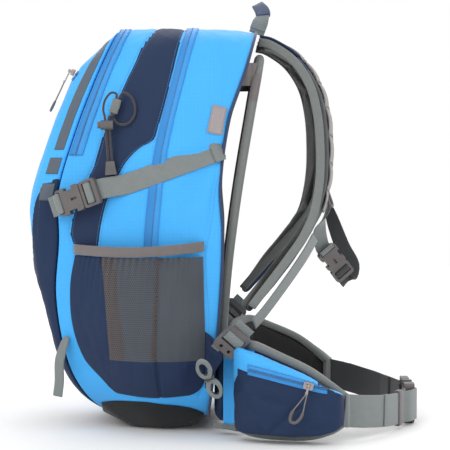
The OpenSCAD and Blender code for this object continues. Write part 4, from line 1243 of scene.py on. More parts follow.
run = [strapPoint(k / 16) for k in range(17)]
lace = laced(strap["clip"], strap["width"], strap["plugLace"], 1, 12)
strapPath = run[:-1] + through([run[-1]] + lace, 3)
strapRight = ribbonMesh("compressionStrapRight", strapPath, strap["clip"][2], strap["width"], strap["thick"])
foldPath = [strapPoint(t) + Vector(off)
            for t, off in ((-0.02, (1.5, -1.6, 0.5)), (0.04, (0, -1.9, 0)), (0.075, (0, -1.5, 0)))]
fold = ribbonMesh("strapFold", foldPath, strap["clip"][2], strap["width"] + 0.6, 1.5)
for piece in (strapRight, fold):
    piece.data.materials.append(finish["grey"])
strapRight = joined("compressionStrapRight", [strapRight, fold])
strapLeft = mirrored(strapRight, "compressionStrapLeft")
for piece, side, flip in ((strapRight, "right", 1), (strapLeft, "left", -1)):
    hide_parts("compression_strap_" + side)
    a, b = Vector((60, -150, 340)), inFrame(strap["clip"], (22, 0, 0))
    # the tail by the clip goes with the plug, and the sewn end stays on the bag
    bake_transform(piece, "compression_plug_" + side, "pack",
             start=tuple(Vector((b.x, b.y * flip, b.z)) * mm), end=tuple(Vector((a.x, a.y * flip, a.z)) * mm))
anchorPath = through(laced(strap["clip"], strap["width"], strap["socketLace"], 0, 11), 3)
anchor = ribbonMesh("compressionAnchorRight", anchorPath, strap["clip"][2], strap["width"], strap["thick"])
placePair(anchor, finish["grey"], replaces=("compression_anchors",))
print("stage: compression straps")


# ---- moulded and metal pieces keep their exact shape and take a finer finish
fittings = dict(
    plastic=("compression_sockets", "compression_plug_right", "compression_plug_left", "ladder_locks", "hip_socket",
             "hip_plug", "sternum_socket", "sternum_plug", "cord_lock_button"),
    darkPlastic=("cord_lock_body", "cord_end"), steel=("frame_wire",),
    metal=("hip_slider_right", "hip_slider_left", "main_slider", "front_slider", "pocket_slider"),
)
for key, names in fittings.items():
    for obj in bpy.data.objects:
        if obj.type == "MESH" and obj.name in names:
            for slot in obj.material_slots:
                slot.material = finish[key]
print("stage: fittings")

# ---- padded pieces swell under a short cloth simulation
swell = dict(pressure=4.0, mass=0.3, quality=4, frames=20, smooth=2)


def puff(obj, voxel, cap):
    # voxel: grid size; cap: the most that a point may move; both in mm
    scene = bpy.context.scene
    grid = obj.modifiers.new("evenGrid", "REMESH")
    grid.mode, grid.voxel_size = "VOXEL", voxel * mm
    applyModifiers(obj)
    rest = [v.co.copy() for v in obj.data.vertices]
    cloth = obj.modifiers.new("swell", "CLOTH")
    cloth.settings.use_pressure = True
    cloth.settings.uniform_pressure_force = swell["pressure"]
    cloth.settings.effector_weights.gravity = 0
    cloth.settings.quality = swell["quality"]
    cloth.settings.mass = swell["mass"]
    cloth.point_cache.frame_start, cloth.point_cache.frame_end = 1, swell["frames"]
    for frameNumber in range(1, swell["frames"] + 1):
        scene.frame_set(frameNumber)
    applyModifiers(obj)
    scene.frame_set(1)
    for v, p in zip(obj.data.vertices, rest):
        move = v.co - p
        if move.length > cap * mm:
            v.co = p + move.normalized() * cap * mm
    calm = obj.modifiers.new("calm", "SMOOTH")
    calm.factor, calm.iterations = 0.5, swell["smooth"]
    fine = obj.modifiers.new("fine", "SUBSURF")
    fine.levels = fine.render_levels = 1
    applyModifiers(obj)
    obj.data.shade_smooth()
    return obj


def pushed(obj, move):
    # moves each point along its normal by move(point in mm), in mm
    normals = [v.normal.copy() for v in obj.data.vertices]
    for v, n in zip(obj.data.vertices, normals):
        v.co += n * move(v.co / mm) * mm
    return obj


def painted(obj, keys, choose):
    # one finish for each face, chosen from its middle (mm) and its normal
    obj.data.materials.clear()
    for key in keys:
        obj.data.materials.append(finish[key])
    for face in obj.data.polygons:
        face.material_index = choose(face.center / mm, face.normal)
    boxUv(obj.data)
    return obj


# ---- base: a tough bowl that keeps the bag off the ground
base = dict(x=(-58, 72), reach=0.81, thick=17, across=48, along=44, inside=1.2, wave=0.8)


def underAt(x, y):
    # height of the bag's underside, found by closing in on it
    z = 20
    for _ in range(5):
        s = clamp(stationAt(x, z), 0, 2)
        low = curveAt(bag["bottom"], s)
        half = (curveAt(bag["top"], s) - low) / 2
        n = curveAt(bag["square"], s)
        here = low + half - half * (1 - min(0.99, abs(y) / curveAt(bag["width"], s)) ** n) ** (1 / n)
        z = (here + z) / 2
    return here


rows = []
for i in range(base["along"] + 1):
    x = mix(*base["x"], i / base["along"])
    u = abs(2 * i / base["along"] - 1)
    w = base["reach"] * curveAt(bag["width"], stationAt(x, 20)) * (1 - 0.12 * u ** 6)
    top, low = [], []
    for k in range(base["across"] + 1):
        v = 2 * k / base["across"] - 1
        z = underAt(x, v * w) - base["inside"]
        t = mix(base["inside"], base["thick"], clamp(min(1, 2.2 * (1 - abs(v)), 1.5 * (1 - u))) ** 0.8)
        wave = base["wave"] * noise.noise(Vector((x * 0.04, v * 5, 3))) * clamp(4 - 4 * abs(v))
        top.append(Vector((x, v * w, z)))
        low.append(Vector((x, v * w, max(0, z - t + wave))))
    rows.append(top + low[::-1])
bowl = outward(gridMesh("baseBowl", rows, ringed=True, capped=True))
boxUv(bowl.data)
place(bowl, finish["base"], replaces=("base_panel",))

# ---- tensioned back: net, its wire sleeve, lumbar pad and corner gussets
back = dict(
    line=[(92, 95), (130, 95.5), (180, 99), (230, 104), (310, 115), (400, 130), (462, 141)],
    half=108, low=122, high=460, corner=40, sag=1.2, wireOut=4.8, bend=44, sleeve=4.3, sleeveSides=14,
)


def netHalf(z):
    over = z - (back["high"] - back["corner"])
    under = back["low"] + back["corner"] - z
    e = max(0, over, under)
    return back["half"] - back["corner"] + math.sqrt(max(0, back["corner"] ** 2 - e * e))


rows = []
for k in range(86):
    z = mix(back["low"] + 0.4, back["high"] - 0.4, k / 85)
    w = netHalf(z)
    depths = [(w * (j / 20 - 1), back["sag"] * (1 - (w * (j / 20 - 1) / back["half"]) ** 2)) for j in range(41)]
    rows.append([Vector((curveAt(back["line"], z) + 0.4 - sag, y, z)) for y, sag in depths])
net = gridMesh("backNet", rows)
layer = net.data.uv_layers["flat"]
for loop in net.data.loops:
    p = net.data.vertices[loop.vertex_index].co
    layer.data[loop.index].uv = (p.y, p.z)
thicken(net, 1.0, 0)
place(net, finish["backNet"], replaces=("back_mesh",))


def framePath(out, low):
    w, r, top = back["half"] + out, back["bend"], back["high"] + out
    path = [Vector((curveAt(back["line"], z), -w, z)) for z in [mix(low, top - r, k / 40) for k in range(40)]]
    for k in range(13):
        a = k * math.pi / 24
        z = top - r + r * math.sin(a)
        path.append(Vector((curveAt(back["line"], z), -w + r - r * math.cos(a), z)))
    for k in range(1, 13):
        path.append(Vector((curveAt(back["line"], top), mix(-w + r, 0, k / 12), top)))
    return path + [flipY(p) for p in reversed(path[:-1])]


sleevePath = framePath(back["wireOut"], back["low"])
rows = []
for i, q in enumerate(sleevePath):
    run = alongPath(sleevePath, i)
    u = squareTo((1, 0, 0), run)
    v = run.cross(u)
    turns = [k * math.tau / back["sleeveSides"] for k in range(back["sleeveSides"])]
    rows.append([q + back["sleeve"] * (math.cos(a) * u + math.sin(a) * v) for a in turns])
sleeve = thicken(gridMesh("sleeveTube", rows, ringed=True), 1.4)
place(sleeve, finish["binding"], replaces=("frame_sleeve",))
bindPath = []
for p in sleevePath:
    inwards = squareTo((0, p.y, max(0, p.z - 416)), (1, 0, 0))
    bindPath.append(p + inwards * 3.6 + Vector((-1.2, 0, 0)))
place(ribbonMesh("sleeveBinding", bindPath, (1, 0, 0), 7.5, 1.5), finish["hem"])

cuff = [p for p in sleevePath if p.y < 0 and 392 < p.z < 452]
last = len(cuff) - 1
radii = [mix(4.6, 5.8, min(1, 5 * min(k, last - k) / len(cuff))) for k in range(len(cuff))]
for name, path in (("frameCuffRight", cuff), ("frameCuffLeft", [flipY(p) for p in cuff])):
    place(outward(tubeMesh(name, path, radii, 16)), finish["hem"])

rows = []
for x, inset in ((89.6, 5), (89.2, 1.5), (91, 0.4), (95, 0), (99, 0.4), (100.8, 1.5), (100.4, 5)):
    ring = [squircle(k * math.tau / 120, 5) for k in range(120)]
    rows.append([Vector((x, (118 - inset) * a, 62 + (55 - inset) * b)) for a, b in ring])
lumbar = puff(outward(gridMesh("lumbarPad", rows, ringed=True, capped=True)), voxel=4, cap=5)
pushed(lumbar, lambda p: -1.6 * max(bump(p.y - 42, 3), bump(p.y + 42, 3)) * clamp((p.x - 95) / 3))
for v in lumbar.data.vertices:
    v.co.z = max(v.co.z, 0.002)
painted(lumbar, ["spacer", "navy"], lambda p, n: 0 if n.x > 0.35 else 1)
place(lumbar, None, replaces=("lumbar_pad",))

wingRows = []
for k in range(13):
    z = mix(430, 458, k / 12)
    x0, x1 = curveAt(bag["back"], z) + 1.5, curveAt(back["line"], z) - 3.5
    wave = [1.2 * math.sin(j * 0.9 + k * 0.5) for j in range(9)]
    wingRows.append([Vector((mix(x0, x1, j / 8), mix(-118, -111, j / 8) + wave[j], z)) for j in range(9)])
wing = thicken(gridMesh("cornerWingRight", wingRows), 1.2, 0)
placePair(wing, finish["hem"], replaces=("corner_wings",))
print("stage: back")

# ---- haul loop: a padded middle on webbing ends
haulPath = through([(139, -38, 503), (144, -36, 516), (147, -28, 526), (142, -12, 535), (140, 0, 537),
                    (142, 12, 535), (147, 28, 526), (144, 36, 516), (139, 38, 503)], 8)
haulWidth = [mix(20, 13, clamp(1.6 - abs(k - 32) / 16)) for k in range(65)]
inner = ribbonMesh("haulWebbing", haulPath, (1, 0, 0.5), haulWidth, 2.0)
place(inner, finish["grey"], replaces=("haul_loop",))
grip = ribbonMesh("haulGrip", haulPath[12:53], (1, 0, 0.5), [w + 1.4 for w in haulWidth[12:53]], 4.6)
place(grip, finish["navyTape"])
print("stage: haul loop")

# ---- shoulder harness
harness = dict(
    route=[(142, -50, 486), (160, -54, 481), (188, -60, 462), (209, -68, 432), (219, -77, 396), (222, -85, 355),
           (220, -92, 315), (211, -99, 278), (195, -107, 248), (172, -116, 218), (146, -125, 186), (122, -132, 156)],
    widths=[(0, 46), (3, 62), (6.5, 62), (11, 38)], thick=12,
    turn=[(0, Vector((0.1, 1, 0))), (4, Vector((0.25, 1, 0))), (11, Vector((0.1, 1, 0.35)))],
    adjuster=[(209, -108, 244), (196, -115, 222), (177, -124, 195), (150, -138, 160), (133, -148, 141)],
    steps=6, sides=28, navyEnds=(16, 56), web=(8, 43), tackEvery=5, cap=(1, 13),
)
padPath = through(harness["route"], harness["steps"])
padWidths = [curveAt(harness["widths"], k / harness["steps"]) for k in range(len(padPath))]
padTurn = [curveAt(harness["turn"], k / harness["steps"]) for k in range(len(padPath))]


def padAxes(i):
    # across the pad, and square out of its face
    t = alongPath(padPath, i)
    w = squareTo(padTurn[i], t)
    return w, t.cross(w)


def padSection(i, half, thick):
    w, n = padAxes(i)
    row = []
    for k in range(harness["sides"]):
        a = k * math.tau / harness["sides"]
        c, q = math.cos(a), math.sin(a)
        rho = (abs(c) ** 6 + abs(q) ** 6) ** (1 / 6)
        crown = 1 + 0.12 * (1 - min(1, abs(c / rho)) ** 2)
        row.append(padPath[i] + w * half * c / rho + n * thick / 2 * q / rho * crown)
    return row


def buildPad(name):
    rows = [padSection(i, padWidths[i] / 2 - 1.2, harness["thick"] - 3.4) for i in range(len(padPath))]
    pad = puff(outward(gridMesh(name, rows, ringed=True, capped=True)), voxel=4.2, cap=4.5)
    tree = KDTree(len(padPath))
    for i, p in enumerate(padPath):
        tree.insert(p, i)
    tree.balance()

    def stitched(p):
        _, i, _ = tree.find(p)
        edge = padWidths[i] / 2 - abs((p - padPath[i]).dot(padAxes(i)[0]))
        return -1.0 * bump(edge - 7.5, 2.0) + 0.5 * noise.noise(p * 0.05)

    def chosen(p, n):
        _, i, _ = tree.find(p)
        if n.dot(padAxes(i)[1]) < 0.25:
            return 0
        return 2 if harness["navyEnds"][0] <= i <= harness["navyEnds"][1] else 1

    pushed(pad, stitched)
    return painted(pad, ["spacer", "navy", "padFace"], chosen)


pad = buildPad("shoulderPadRight")
padLeft = mirrored(pad, "shoulderPadLeft")
boxUv(padLeft.data)
for piece, node in ((pad, "shoulder_pad_right"), (padLeft, "shoulder_pad_left")):
    place(piece, None, replaces=(node,))
inner = range(1, len(padPath) - 1)
edges = []
for side in (1, -1):
    path = [padPath[i] + padAxes(i)[0] * side * (padWidths[i] / 2 - 0.9) for i in inner]
    edge = ribbonMesh("edge", path, [padAxes(i)[1] for i in inner], 10.5, 2.6)
    edge.data.materials.append(finish["binding"])
    edges.append(edge)
placePair(joined("padBindingRight", edges), None)

webPath, webTurn, bars = [], [], []
for i in range(*harness["web"]):
    # the daisy chain arches between its tacks
    w, n = padAxes(i)
    count = i - harness["web"][0]
    rise = harness["thick"] / 2 + 1.6 + 1.7 * abs(math.sin(count * math.pi / harness["tackEvery"])) ** 0.8
    webPath.append(padPath[i] + n * rise)
    webTurn.append(w)
    if count % harness["tackEvery"] == 0:
        bars.append([(padPath[i] + n * (harness["thick"] / 2 + 2.6) + w * k, n) for k in (-8.5, 8.5)])
daisyTurn = [webTurn[k // 2] for k in range(2 * len(webPath) - 1)]
daisy = ribbonMesh("daisyWebbingRight", through(webPath, 2), daisyTurn, 20, 1.6)
daisy.data.materials.append(finish["daisy"])
tacks = repeated("tacks", bars, "bar", 1.1, 0.8, 2.6, 0.9, "greyThread")
adjuster = ribbonMesh("adjuster", through(harness["adjuster"], 8), (0.22, 0.76, -0.44), 25, 1.5)
adjuster.data.materials.append(finish["grey"])
placePair(joined("strapWebbingRight", [daisy, tacks, adjuster]), None, replaces=("strap_webbings",))

# navy cap sewn over the root of each pad
capPath = [padPath[i] + padAxes(i)[1] * (harness["thick"] / 2 + 1.4) for i in range(*harness["cap"])]
capTurn = [padAxes(harness["cap"][0] + k // 2)[0] for k in range(2 * len(capPath) - 1)]
placePair(ribbonMesh("padCapRight", through(capPath, 2), capTurn, 45, 3.2), finish["navy"])

# webbing through the ladder locks and their navy anchors
lockFrame = frameOf((106, -156, 121), (0.6, -0.24, 0.62), (0.2, -1, 0))
ladderLace = [(27, -2.6), (17, -2.2), (12, -1.2), (9.6, 2), (6, 4.4), (1.5, 4.2), (-1.8, 1.5), (-4, -3.4),
              (-12, -5.5), (-24, -6)]
lockPath = through([inFrame(lockFrame, (a, 0, b)) for a, b in ladderLace], 5)
placePair(ribbonMesh("ladderWebbingRight", lockPath, lockFrame[2], 24.4, 1.4), finish["grey"])
rows = []
for k in range(17):
    t = k / 16
    x, low, high, y = mix(74, 95, t), mix(60, 98, t), mix(130, 113, t), mix(-133, -148, t)
    wave = [1.4 * math.sin(j * 0.7 + k * 0.35) * math.sin(math.pi * t) for j in range(21)]
    rows.append([Vector((x, y + wave[j], mix(low, high, j / 20))) for j in range(21)])
placePair(thicken(gridMesh("strapAnchorRight", rows), 1.8, 0), finish["navy"], replaces=("strap_anchors",))

# spare webbing rolled into a figure of eight
roll = dict(
    at=frameOf((79, -172, 78), (0.5, 0, -0.86), (0, -1, 0)), turns=3.2, outer=(12.2, 8.7), inner=(8.0, 4.6),
    apart=13.0, width=21, tie=(5.952, 11.8), steps=109,
)
lobes = []
for side in (-1, 1):
    path = []
    for k in range(roll["steps"] + 1):
        t = k / roll["steps"]
        a = t * roll["turns"] * math.tau + (math.pi if side > 0 else 0)
        rx, rz = (mix(outer, inner, t) for outer, inner in zip(roll["outer"], roll["inner"]))
        path.append(inFrame(roll["at"], (side * roll["apart"] + rx * math.cos(a), rz * math.sin(a), 0)))
    lobes.append(ribbonMesh("lobe", path, roll["at"][3], roll["width"], 1.3))
tieRing = [inFrame(roll["at"], (0, roll["tie"][0] * math.cos(a), roll["tie"][1] * math.sin(a)))
           for a in [k * math.tau / 24 for k in range(25)]]
tie = ribbonMesh("tie", tieRing, roll["at"][1], 2.4, 1.0)
for piece, key in ((lobes[0], "grey"), (lobes[1], "grey"), (tie, "darkTape")):
    piece.data.materials.append(finish[key])
placePair(joined("webbingRollRight", lobes + [tie]), None, replaces=("webbing_rolls",))
print("stage: harness")

# ---- hip belt: padded fins with zipped pockets
hip = dict(
    plan=[(109, -92, 12, 112), (116, -124, 8, 118), (134, -150, 4, 120), (165, -162, 2, 108),
          (200, -168, 3, 92), (226, -168, 10, 74), (246, -160, 22, 58)],
    thick=13, rows=(3.1, 11), depth=(7.4, 29.2), inset=5.5, face=30.3,
    zipHeight=94.5, zipFall=0.26, zipRows=(4.4, 9.3), front=18, end=12,
    folds=[((122, 66), (140, 44), 5, 2.2), ((140, 44), (150, 16), 6, 2.6), ((150, 14), (186, 46), 4.5, -2.4),
           ((128, 58), (160, 50), 6, -1.8), ((168, 14), (206, 30), 6, 1.4)],
)
finKeys = [(2 * k, Vector(p)) for k, p in enumerate(hip["plan"])]


def finAt(i):
    return curveAt(finKeys, i)


def finOut(i):
    d = finAt(min(i + 0.5, hip["end"])) - finAt(max(i - 0.5, 0))
    return Vector((d.y, -d.x, 0)).normalized()


def finPoint(i, out, z):
    p = finAt(i)
    return Vector((p.x, p.y, z)) + finOut(i) * out


finSteps = [(k / 16, finAt(k / 16), finOut(k / 16)) for k in range(193)]
finTree = KDTree(len(finSteps))
for k, (i, p, n) in enumerate(finSteps):
    finTree.insert(Vector((p.x, p.y, 0)), k)
finTree.balance()


def finPlace(p):
    # row number along the fin, distance out from its middle, and the outward direction
    _, k, _ = finTree.find(Vector((p.x, p.y, 0)))
    i, q, n = finSteps[k]
    return i, (p.x - q.x) * n.x + (p.y - q.y) * n.y, n


def zipHeight(x):
    return hip["zipHeight"] - hip["zipFall"] * (x - 120)


def slabRows(i0, i1, count, near, far, low, high, power):
    # rounded sections along the fin; a deep slab thins towards both ends
    rows = []
    for k in range(count):
        i = mix(i0, i1, k / (count - 1))
        f = finAt(i)
        z0, z1 = f[2] + low, f[3] - high
        outer = far - (7 * clamp(i0 + 1 - i) ** 2 + 12 * clamp(i - i1 + 1.2) ** 2 if far > 12 else 0)
        ring = [squircle(j * math.tau / 56, power) for j in range(56)]
        rows.append([finPoint(i, mix(near, outer, (a + 1) / 2), mix(z0, z1, (b + 1) / 2)) for a, b in ring])
    return rows


def nearSegment(x, z, a, b):
    run = Vector((b[0] - a[0], b[1] - a[1]))
    t = clamp(((x - a[0]) * run.x + (z - a[1]) * run.y) / run.length_squared)
    return math.hypot(x - a[0] - run.x * t, z - a[1] - run.y * t)


def buildFin():
    rows = slabRows(0, 12, 60, -hip["thick"] / 2 + 1.6, hip["thick"] / 2 - 1.6, 1.2, 1.2, 6)
    fin = puff(outward(gridMesh("hipFinRight", rows, ringed=True, capped=True)), voxel=4.2, cap=3)
    for v in fin.data.vertices:
        v.co.z = max(v.co.z, 0.0012)

    def chosen(p, n):
        i, _, direction = finPlace(p)
        if n.dot(direction) < 0.2:
            return 0
        return 2 if i < 4.2 else 1

    return painted(fin, ["spacer", "navy", "sky"], chosen)


def pocketSwell(p):
    # crease pattern on the face below the zip, and a level run for the zip itself
    below = zipHeight(p.x) - p.z
    broad = noise.noise(Vector((p.x * 0.045, p.z * 0.06, 9)))
    fine = noise.noise(Vector((p.x * 0.11, p.z * 0.12, 2)))
    move = (1.5 * broad + 0.7 * fine) * clamp((below - 8) / 12)
    for a, b, width, height in hip["folds"]:
        move += height * bump(nearSegment(p.x, p.z, a, b), width) * clamp((below - 6) / 10)
    return min(move, 30.6 - finPlace(p)[1])


def buildPocket():
    inset = hip["inset"] + 0.8
    rows = slabRows(*hip["rows"], 48, hip["depth"][0], hip["depth"][1] - 2.2, inset, inset, 7)
    body = puff(outward(gridMesh("hipPocketRight", rows, ringed=True, capped=True)), voxel=4.2, cap=3.2)
    work = bmesh.new()
    work.from_mesh(body.data)
    bmesh.ops.scale(work, vec=(1 / mm, 1 / mm, 1 / mm), verts=work.verts)
    work.normal_update()
    moves = []
    for v in work.verts:
        i, out, n = finPlace(v.co)
        move = 0
        if out > hip["front"]:
            level = bump(v.co.z - zipHeight(v.co.x), 11) * clamp((i - 4.1) * 2) * clamp((10.6 - i) * 2)
            move = pocketSwell(v.co) + (hip["face"] - out) * level * (1 if v.normal.dot(n) > 0.6 else 0)
        moves.append(n * move)
    for v, move in zip(list(work.verts), moves):
        v.co += move
        v.co.z = max(v.co.z, 3)
    lowLine = lambda p: p.z - zipHeight(p.x) + 6.2
    rearLine = lambda p: p.x - (107 + 6 * clamp((p.z - 56) / 26) ** 2 + 3 * clamp((34 - p.z) / 30))
    frontLine = lambda p: 208 - p.x
    outside = lambda p: finPlace(p)[1] > 10
    for field in (lowLine, rearLine, frontLine):
        cutAlong(work, field, outside)
    for face in work.faces:
        p = face.calc_center_median()
        top = finAt(finPlace(p)[0])[3]
        blue = lowLine(p) > 0 and frontLine(p) > 0 or rearLine(p) < 0 or (p.z > top - 9.5)
        face.material_index = 1 if blue and finPlace(p)[1] > 9 else 0
    bpy.data.objects.remove(body)
    obj = finishBmesh(work, "hipPocketRight", ["navy", "sky"])
    obj.data.polygons.foreach_set("use_smooth", [True] * len(obj.data.polygons))
    boxUv(obj.data)
    return obj


fin = buildFin()
finLeft = mirrored(fin, "hipFinLeft")
hipPocket = buildPocket()
hipPocketLeft = mirrored(hipPocket, "hipPocketLeft")
for piece, node, slot, fill in ((fin, "hip_fin_right", "padding", 0.6), (finLeft, "hip_fin_left", "padding", 0.6),
                                (hipPocket, "hip_pocket_right", "navy_fabric", 0.3),
                                (hipPocketLeft, "hip_pocket_left", "navy_fabric", 0.3)):
    place(piece, None, replaces=(node,))
print("stage: hip pads")

# the zip of each hip pocket lies on the pocket's face
hipTree = surfaceOf(hipPocket)
zipRun = [mix(*hip["zipRows"], k / 70) for k in range(71)]
beside = lambda i, off: finPoint(i, 36, zipHeight(finAt(i).x) + off)
pieces = []
# painted light: the upper strip takes the paler, lit copy of the tape
for key, off, half in (("tapeLight", 4.4, 2.6), ("tapeDark", -3.6, 2.2)):
    rows = [[beside(i, off + w * half) for w in (-1, -0.9, -0.3, 0.3, 0.9, 1)] for i in zipRun]
    strip = drapedSheet("hipTape", hipTree, rows, 0.8, 0.25)
    strip.data.materials.append(finish[key])
    pieces.append(strip)
line = drapedPath(hipTree, [beside(i, 0) for i in zipRun], 0.6)
core = ribbonMesh("hipCore", [p for p, n in line], (0, 0, 1), 1.5, 0.7)
core.data.materials.append(finish["thread"])
coil = repeated("hipCoil", [[(p + n * 0.5, n) for p, n in line]], "bar", 1.5, 0.75, 1.3, 0.6, "blueThread")
rows = [drapedPath(hipTree, [beside(i, off) for i in zipRun[2:-2]], 1.1) for off in (6.4, 2.3)]
dashes = repeated("hipDashes", rows, "thread", 3.4, 2.4, 0.55, 0.5, "thread")
placePair(joined("hipZipRight", pieces + [core, coil, dashes]), None, replaces=("hip_zip_tapes",))


# binding sewn round the whole edge of each fin
def finRim():
    path, turn = [], []
    steps = [hip["end"] * k / 97 for k in range(97)]
    for i in steps:
        path.append(finPoint(i, 0, finAt(i)[3] - 0.4))
        turn.append(finOut(i))
    end = finAt(hip["end"])
    for k in range(13):
        a = math.pi / 2 - math.pi * k / 12
        z = (end[2] + end[3]) / 2 + ((end[3] - end[2]) / 2 - 0.4) * signedPower(math.sin(a), 0.45)
        path.append(finPoint(11.98, 0, z) + Vector((0.9, 0.4, 0)) * 0.9 * abs(math.cos(a)) ** 0.5)
        turn.append(finOut(hip["end"]))
    for i in reversed(steps):
        path.append(finPoint(i, 0, max(1.6, finAt(i)[2] + 0.4)))
        turn.append(finOut(i))
    return path, turn


rimPath, rimTurn = finRim()
rimShape = [(-7.3, 8.5), (-7.2, 2.5), (-5.4, 0.2), (0, -0.7), (5.4, 0.2), (7.2, 2.5), (7.3, 8.5),
            (6.2, 8.5), (6.1, 2.8), (4.8, 1.3), (0, 0.6), (-4.8, 1.3), (-6.1, 2.8), (-6.2, 8.5)]
rows = []
for i, p in enumerate(rimPath):
    t = alongPath(rimPath, i)
    w = squareTo(rimTurn[i], t)
    n = t.cross(w)
    row = []
    for u, v in rimShape:
        q = p + w * u + n * v
        row.append(Vector((q.x, q.y, max(0.4, q.z))))
    rows.append(row)
placePair(outward(gridMesh("finBindingRight", rows, ringed=True, capped=True)), finish["binding"])
rimRow = []
for k in range(1, len(rows) - 1):
    fromEdge = (rows[k][5] - rows[k][6]).normalized()
    rimRow.append((rows[k][6] + rimTurn[k] * 0.25 + fromEdge * 1.6, rimTurn[k]))
rimStitch = repeated("rimStitches", [rimRow], "thread", 3.0, 2.2, 0.5, 0.5, "greyThread")
place(joined("rimStitchesBoth", [rimStitch, mirrored(rimStitch, "rimStitchesL")]), None)
print("stage: hip trim")

# the sides of the lumbar pad run on into the fins
rootPath = through([(96, -119.6, 60), (101, -120.4, 60), (107, -122.5, 60), (113, -128.5, 60)], 6)
root = ribbonMesh("finRootRight", rootPath, (0, 0, 1), [mix(92, 100, k / 18) for k in range(19)], 2.0)
placePair(root, finish["sky"])
edgePath = through([(85, -117, 12), (95, -121, 11.5), (104, -122.6, 10.5), (113, -129, 9.6)], 6)
placePair(ribbonMesh("rootBindingRight", edgePath, (0, 0.25, 1), 7, 4.2), finish["binding"])

# ---- belt webbing and its clip
belt = dict(
    width=40, thick=1.6, clip=frameOf((335, -13, 26), (0, 1, 0), (1, 0, 0)),
    route=[(247, -158.5, 37), (266, -146, 34), (290, -120, 30), (309, -88, 27), (320, -64, 26)],
    tail=[(334, -55, 26), (323, -65, 26), (311, -89, 27), (300.5, -108, 29), (295, -116, 29.6)],
)
tie = [finPoint(11.2, 8.2, 39), finPoint(11.7, 7.8, 38.4)]
lace = laced(belt["clip"], belt["width"], strap["socketLace"], 1, 7)
nearBelt = through(tie + belt["route"] + lace + belt["tail"], 6)
beltRight = ribbonMesh("hipWebbingRight", nearBelt, (0, 0, 1), belt["width"], belt["thick"])
near, end = (Vector(p) for p in belt["tail"][-2:])
hemPath = [mix(end, near, t) + Vector(off)
           for t, off in ((0, (-2.2, 0.6, 0)), (0.45, (-1.9, 0.9, 0)), (1, (-1.6, 0.8, 0)))]
fold = ribbonMesh("tailHem", hemPath, (0, 0, 1), belt["width"] + 0.4, belt["thick"])
for piece in (beltRight, fold):
    piece.data.materials.append(finish["grey"])
place(joined("hipWebbingRight", [beltRight, fold]), None, replaces=("hip_webbing_right",))

farBelt = through([flipY(p) for p in tie + [Vector(q) for q in belt["route"]]]
                  + laced(belt["clip"], belt["width"], strap["plugLace"], 2, 12), 6)
beltLeft = ribbonMesh("hipWebbingLeft", farBelt, (0, 0, 1), belt["width"], belt["thick"])
beltLeft.data.materials.append(finish["darkTape"])
slackPath = through([(319, 62, 26.3), (305, 97, 28.4), (289, 122, 30.6), (270, 146, 34)], 8)
slack = ribbonMesh("slack", slackPath, (0, 0, 1), belt["width"] - 1, 1.4)
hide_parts("hip_webbing_left")
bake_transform(beltLeft, "hip_plug", "pack", start=(0.335, 0.024, 0.026), end=(0.300, 0.100, 0.028))
place(slack, finish["darkTape"])

keeperFrame = frameOf((317, -73.4, 26.4), (0.45, 0.89, 0), (0.89, -0.45, 0))
ring = [squircle(k * math.tau / 64, 9) for k in range(64)]
rows = []
for along, grow in ((-6.4, 0), (-6, 0.7), (-2, 0.8), (2, 0.8), (6, 0.7), (6.4, 0)):
    rows.append([inFrame(keeperFrame, (along, (21.7 + grow) * a, (3.3 + grow) * b)) for a, b in ring])
for along in (6.4, 2, -2, -6.4):
    rows.append([inFrame(keeperFrame, (along, 21.7 * 0.972 * a, 3.3 * 0.86 * b)) for a, b in ring])
rows.append(rows[0])
keeper = outward(gridMesh("beltKeeper", rows, ringed=True))
place(keeper, finish["hem"], replaces=("hip_keepers",))

# ---- chest strap
chest = dict(
    width=20, thick=1.2, clip=frameOf((236, -20, 212), (0.58, 0.3, -0.76), (0.3, -0.9, -0.1)),
    near=[(224, -86, 296), (229, -72, 291), (229, -57, 281), (223, -42, 264), (219, -33, 247)],
    far=[(224, 86, 296), (231, 72, 290), (238, 52, 266), (252, 26, 225), (264, 10, 200), (258.5, -2.4, 180.8)],
)
nearChest = through(chest["near"] + laced(chest["clip"], chest["width"], strap["socketLace"], 1, 8), 5)
level = lambda count: [mix(Vector((-0.35, 0.15, 1)), chest["clip"][2], clamp(k / 20) ** 1.5) for k in range(count)]
chestRight = ribbonMesh("chestWebbingRight", nearChest, level(len(nearChest)), chest["width"], chest["thick"])
place(chestRight, finish["grey"], replaces=("sternum_webbing_right",))
farChest = through(chest["far"] + laced(chest["clip"], chest["width"], strap["plugLace"], 2, 12), 5)
chestLeft = ribbonMesh("chestWebbingLeft", farChest, level(len(farChest)), chest["width"], chest["thick"])
chestLeft.data.materials.append(finish["darkTape"])
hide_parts("sternum_webbing_left")
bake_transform(chestLeft, "sternum_plug", "pack", start=(0.2585, -0.0024, 0.1808), end=(0.238, 0.052, 0.266))
for side, tag in ((1, "Right"), (-1, "Left")):
    ringFrame = frameOf((226.5, -84 * side, 294), (-0.35, 0.15 * side, 1), (1, -0.35 * side, 0.3))
    ringPath = [inFrame(ringFrame, (13.5 * a, 6.5 * b, 0)) for a, b in [roundedOval(k, 40, 0.6, 0.6) for k in range(41)]]
    place(tubeMesh("chestRing" + tag, ringPath, 1.9, 10), finish["plastic"])
print("stage: belts")

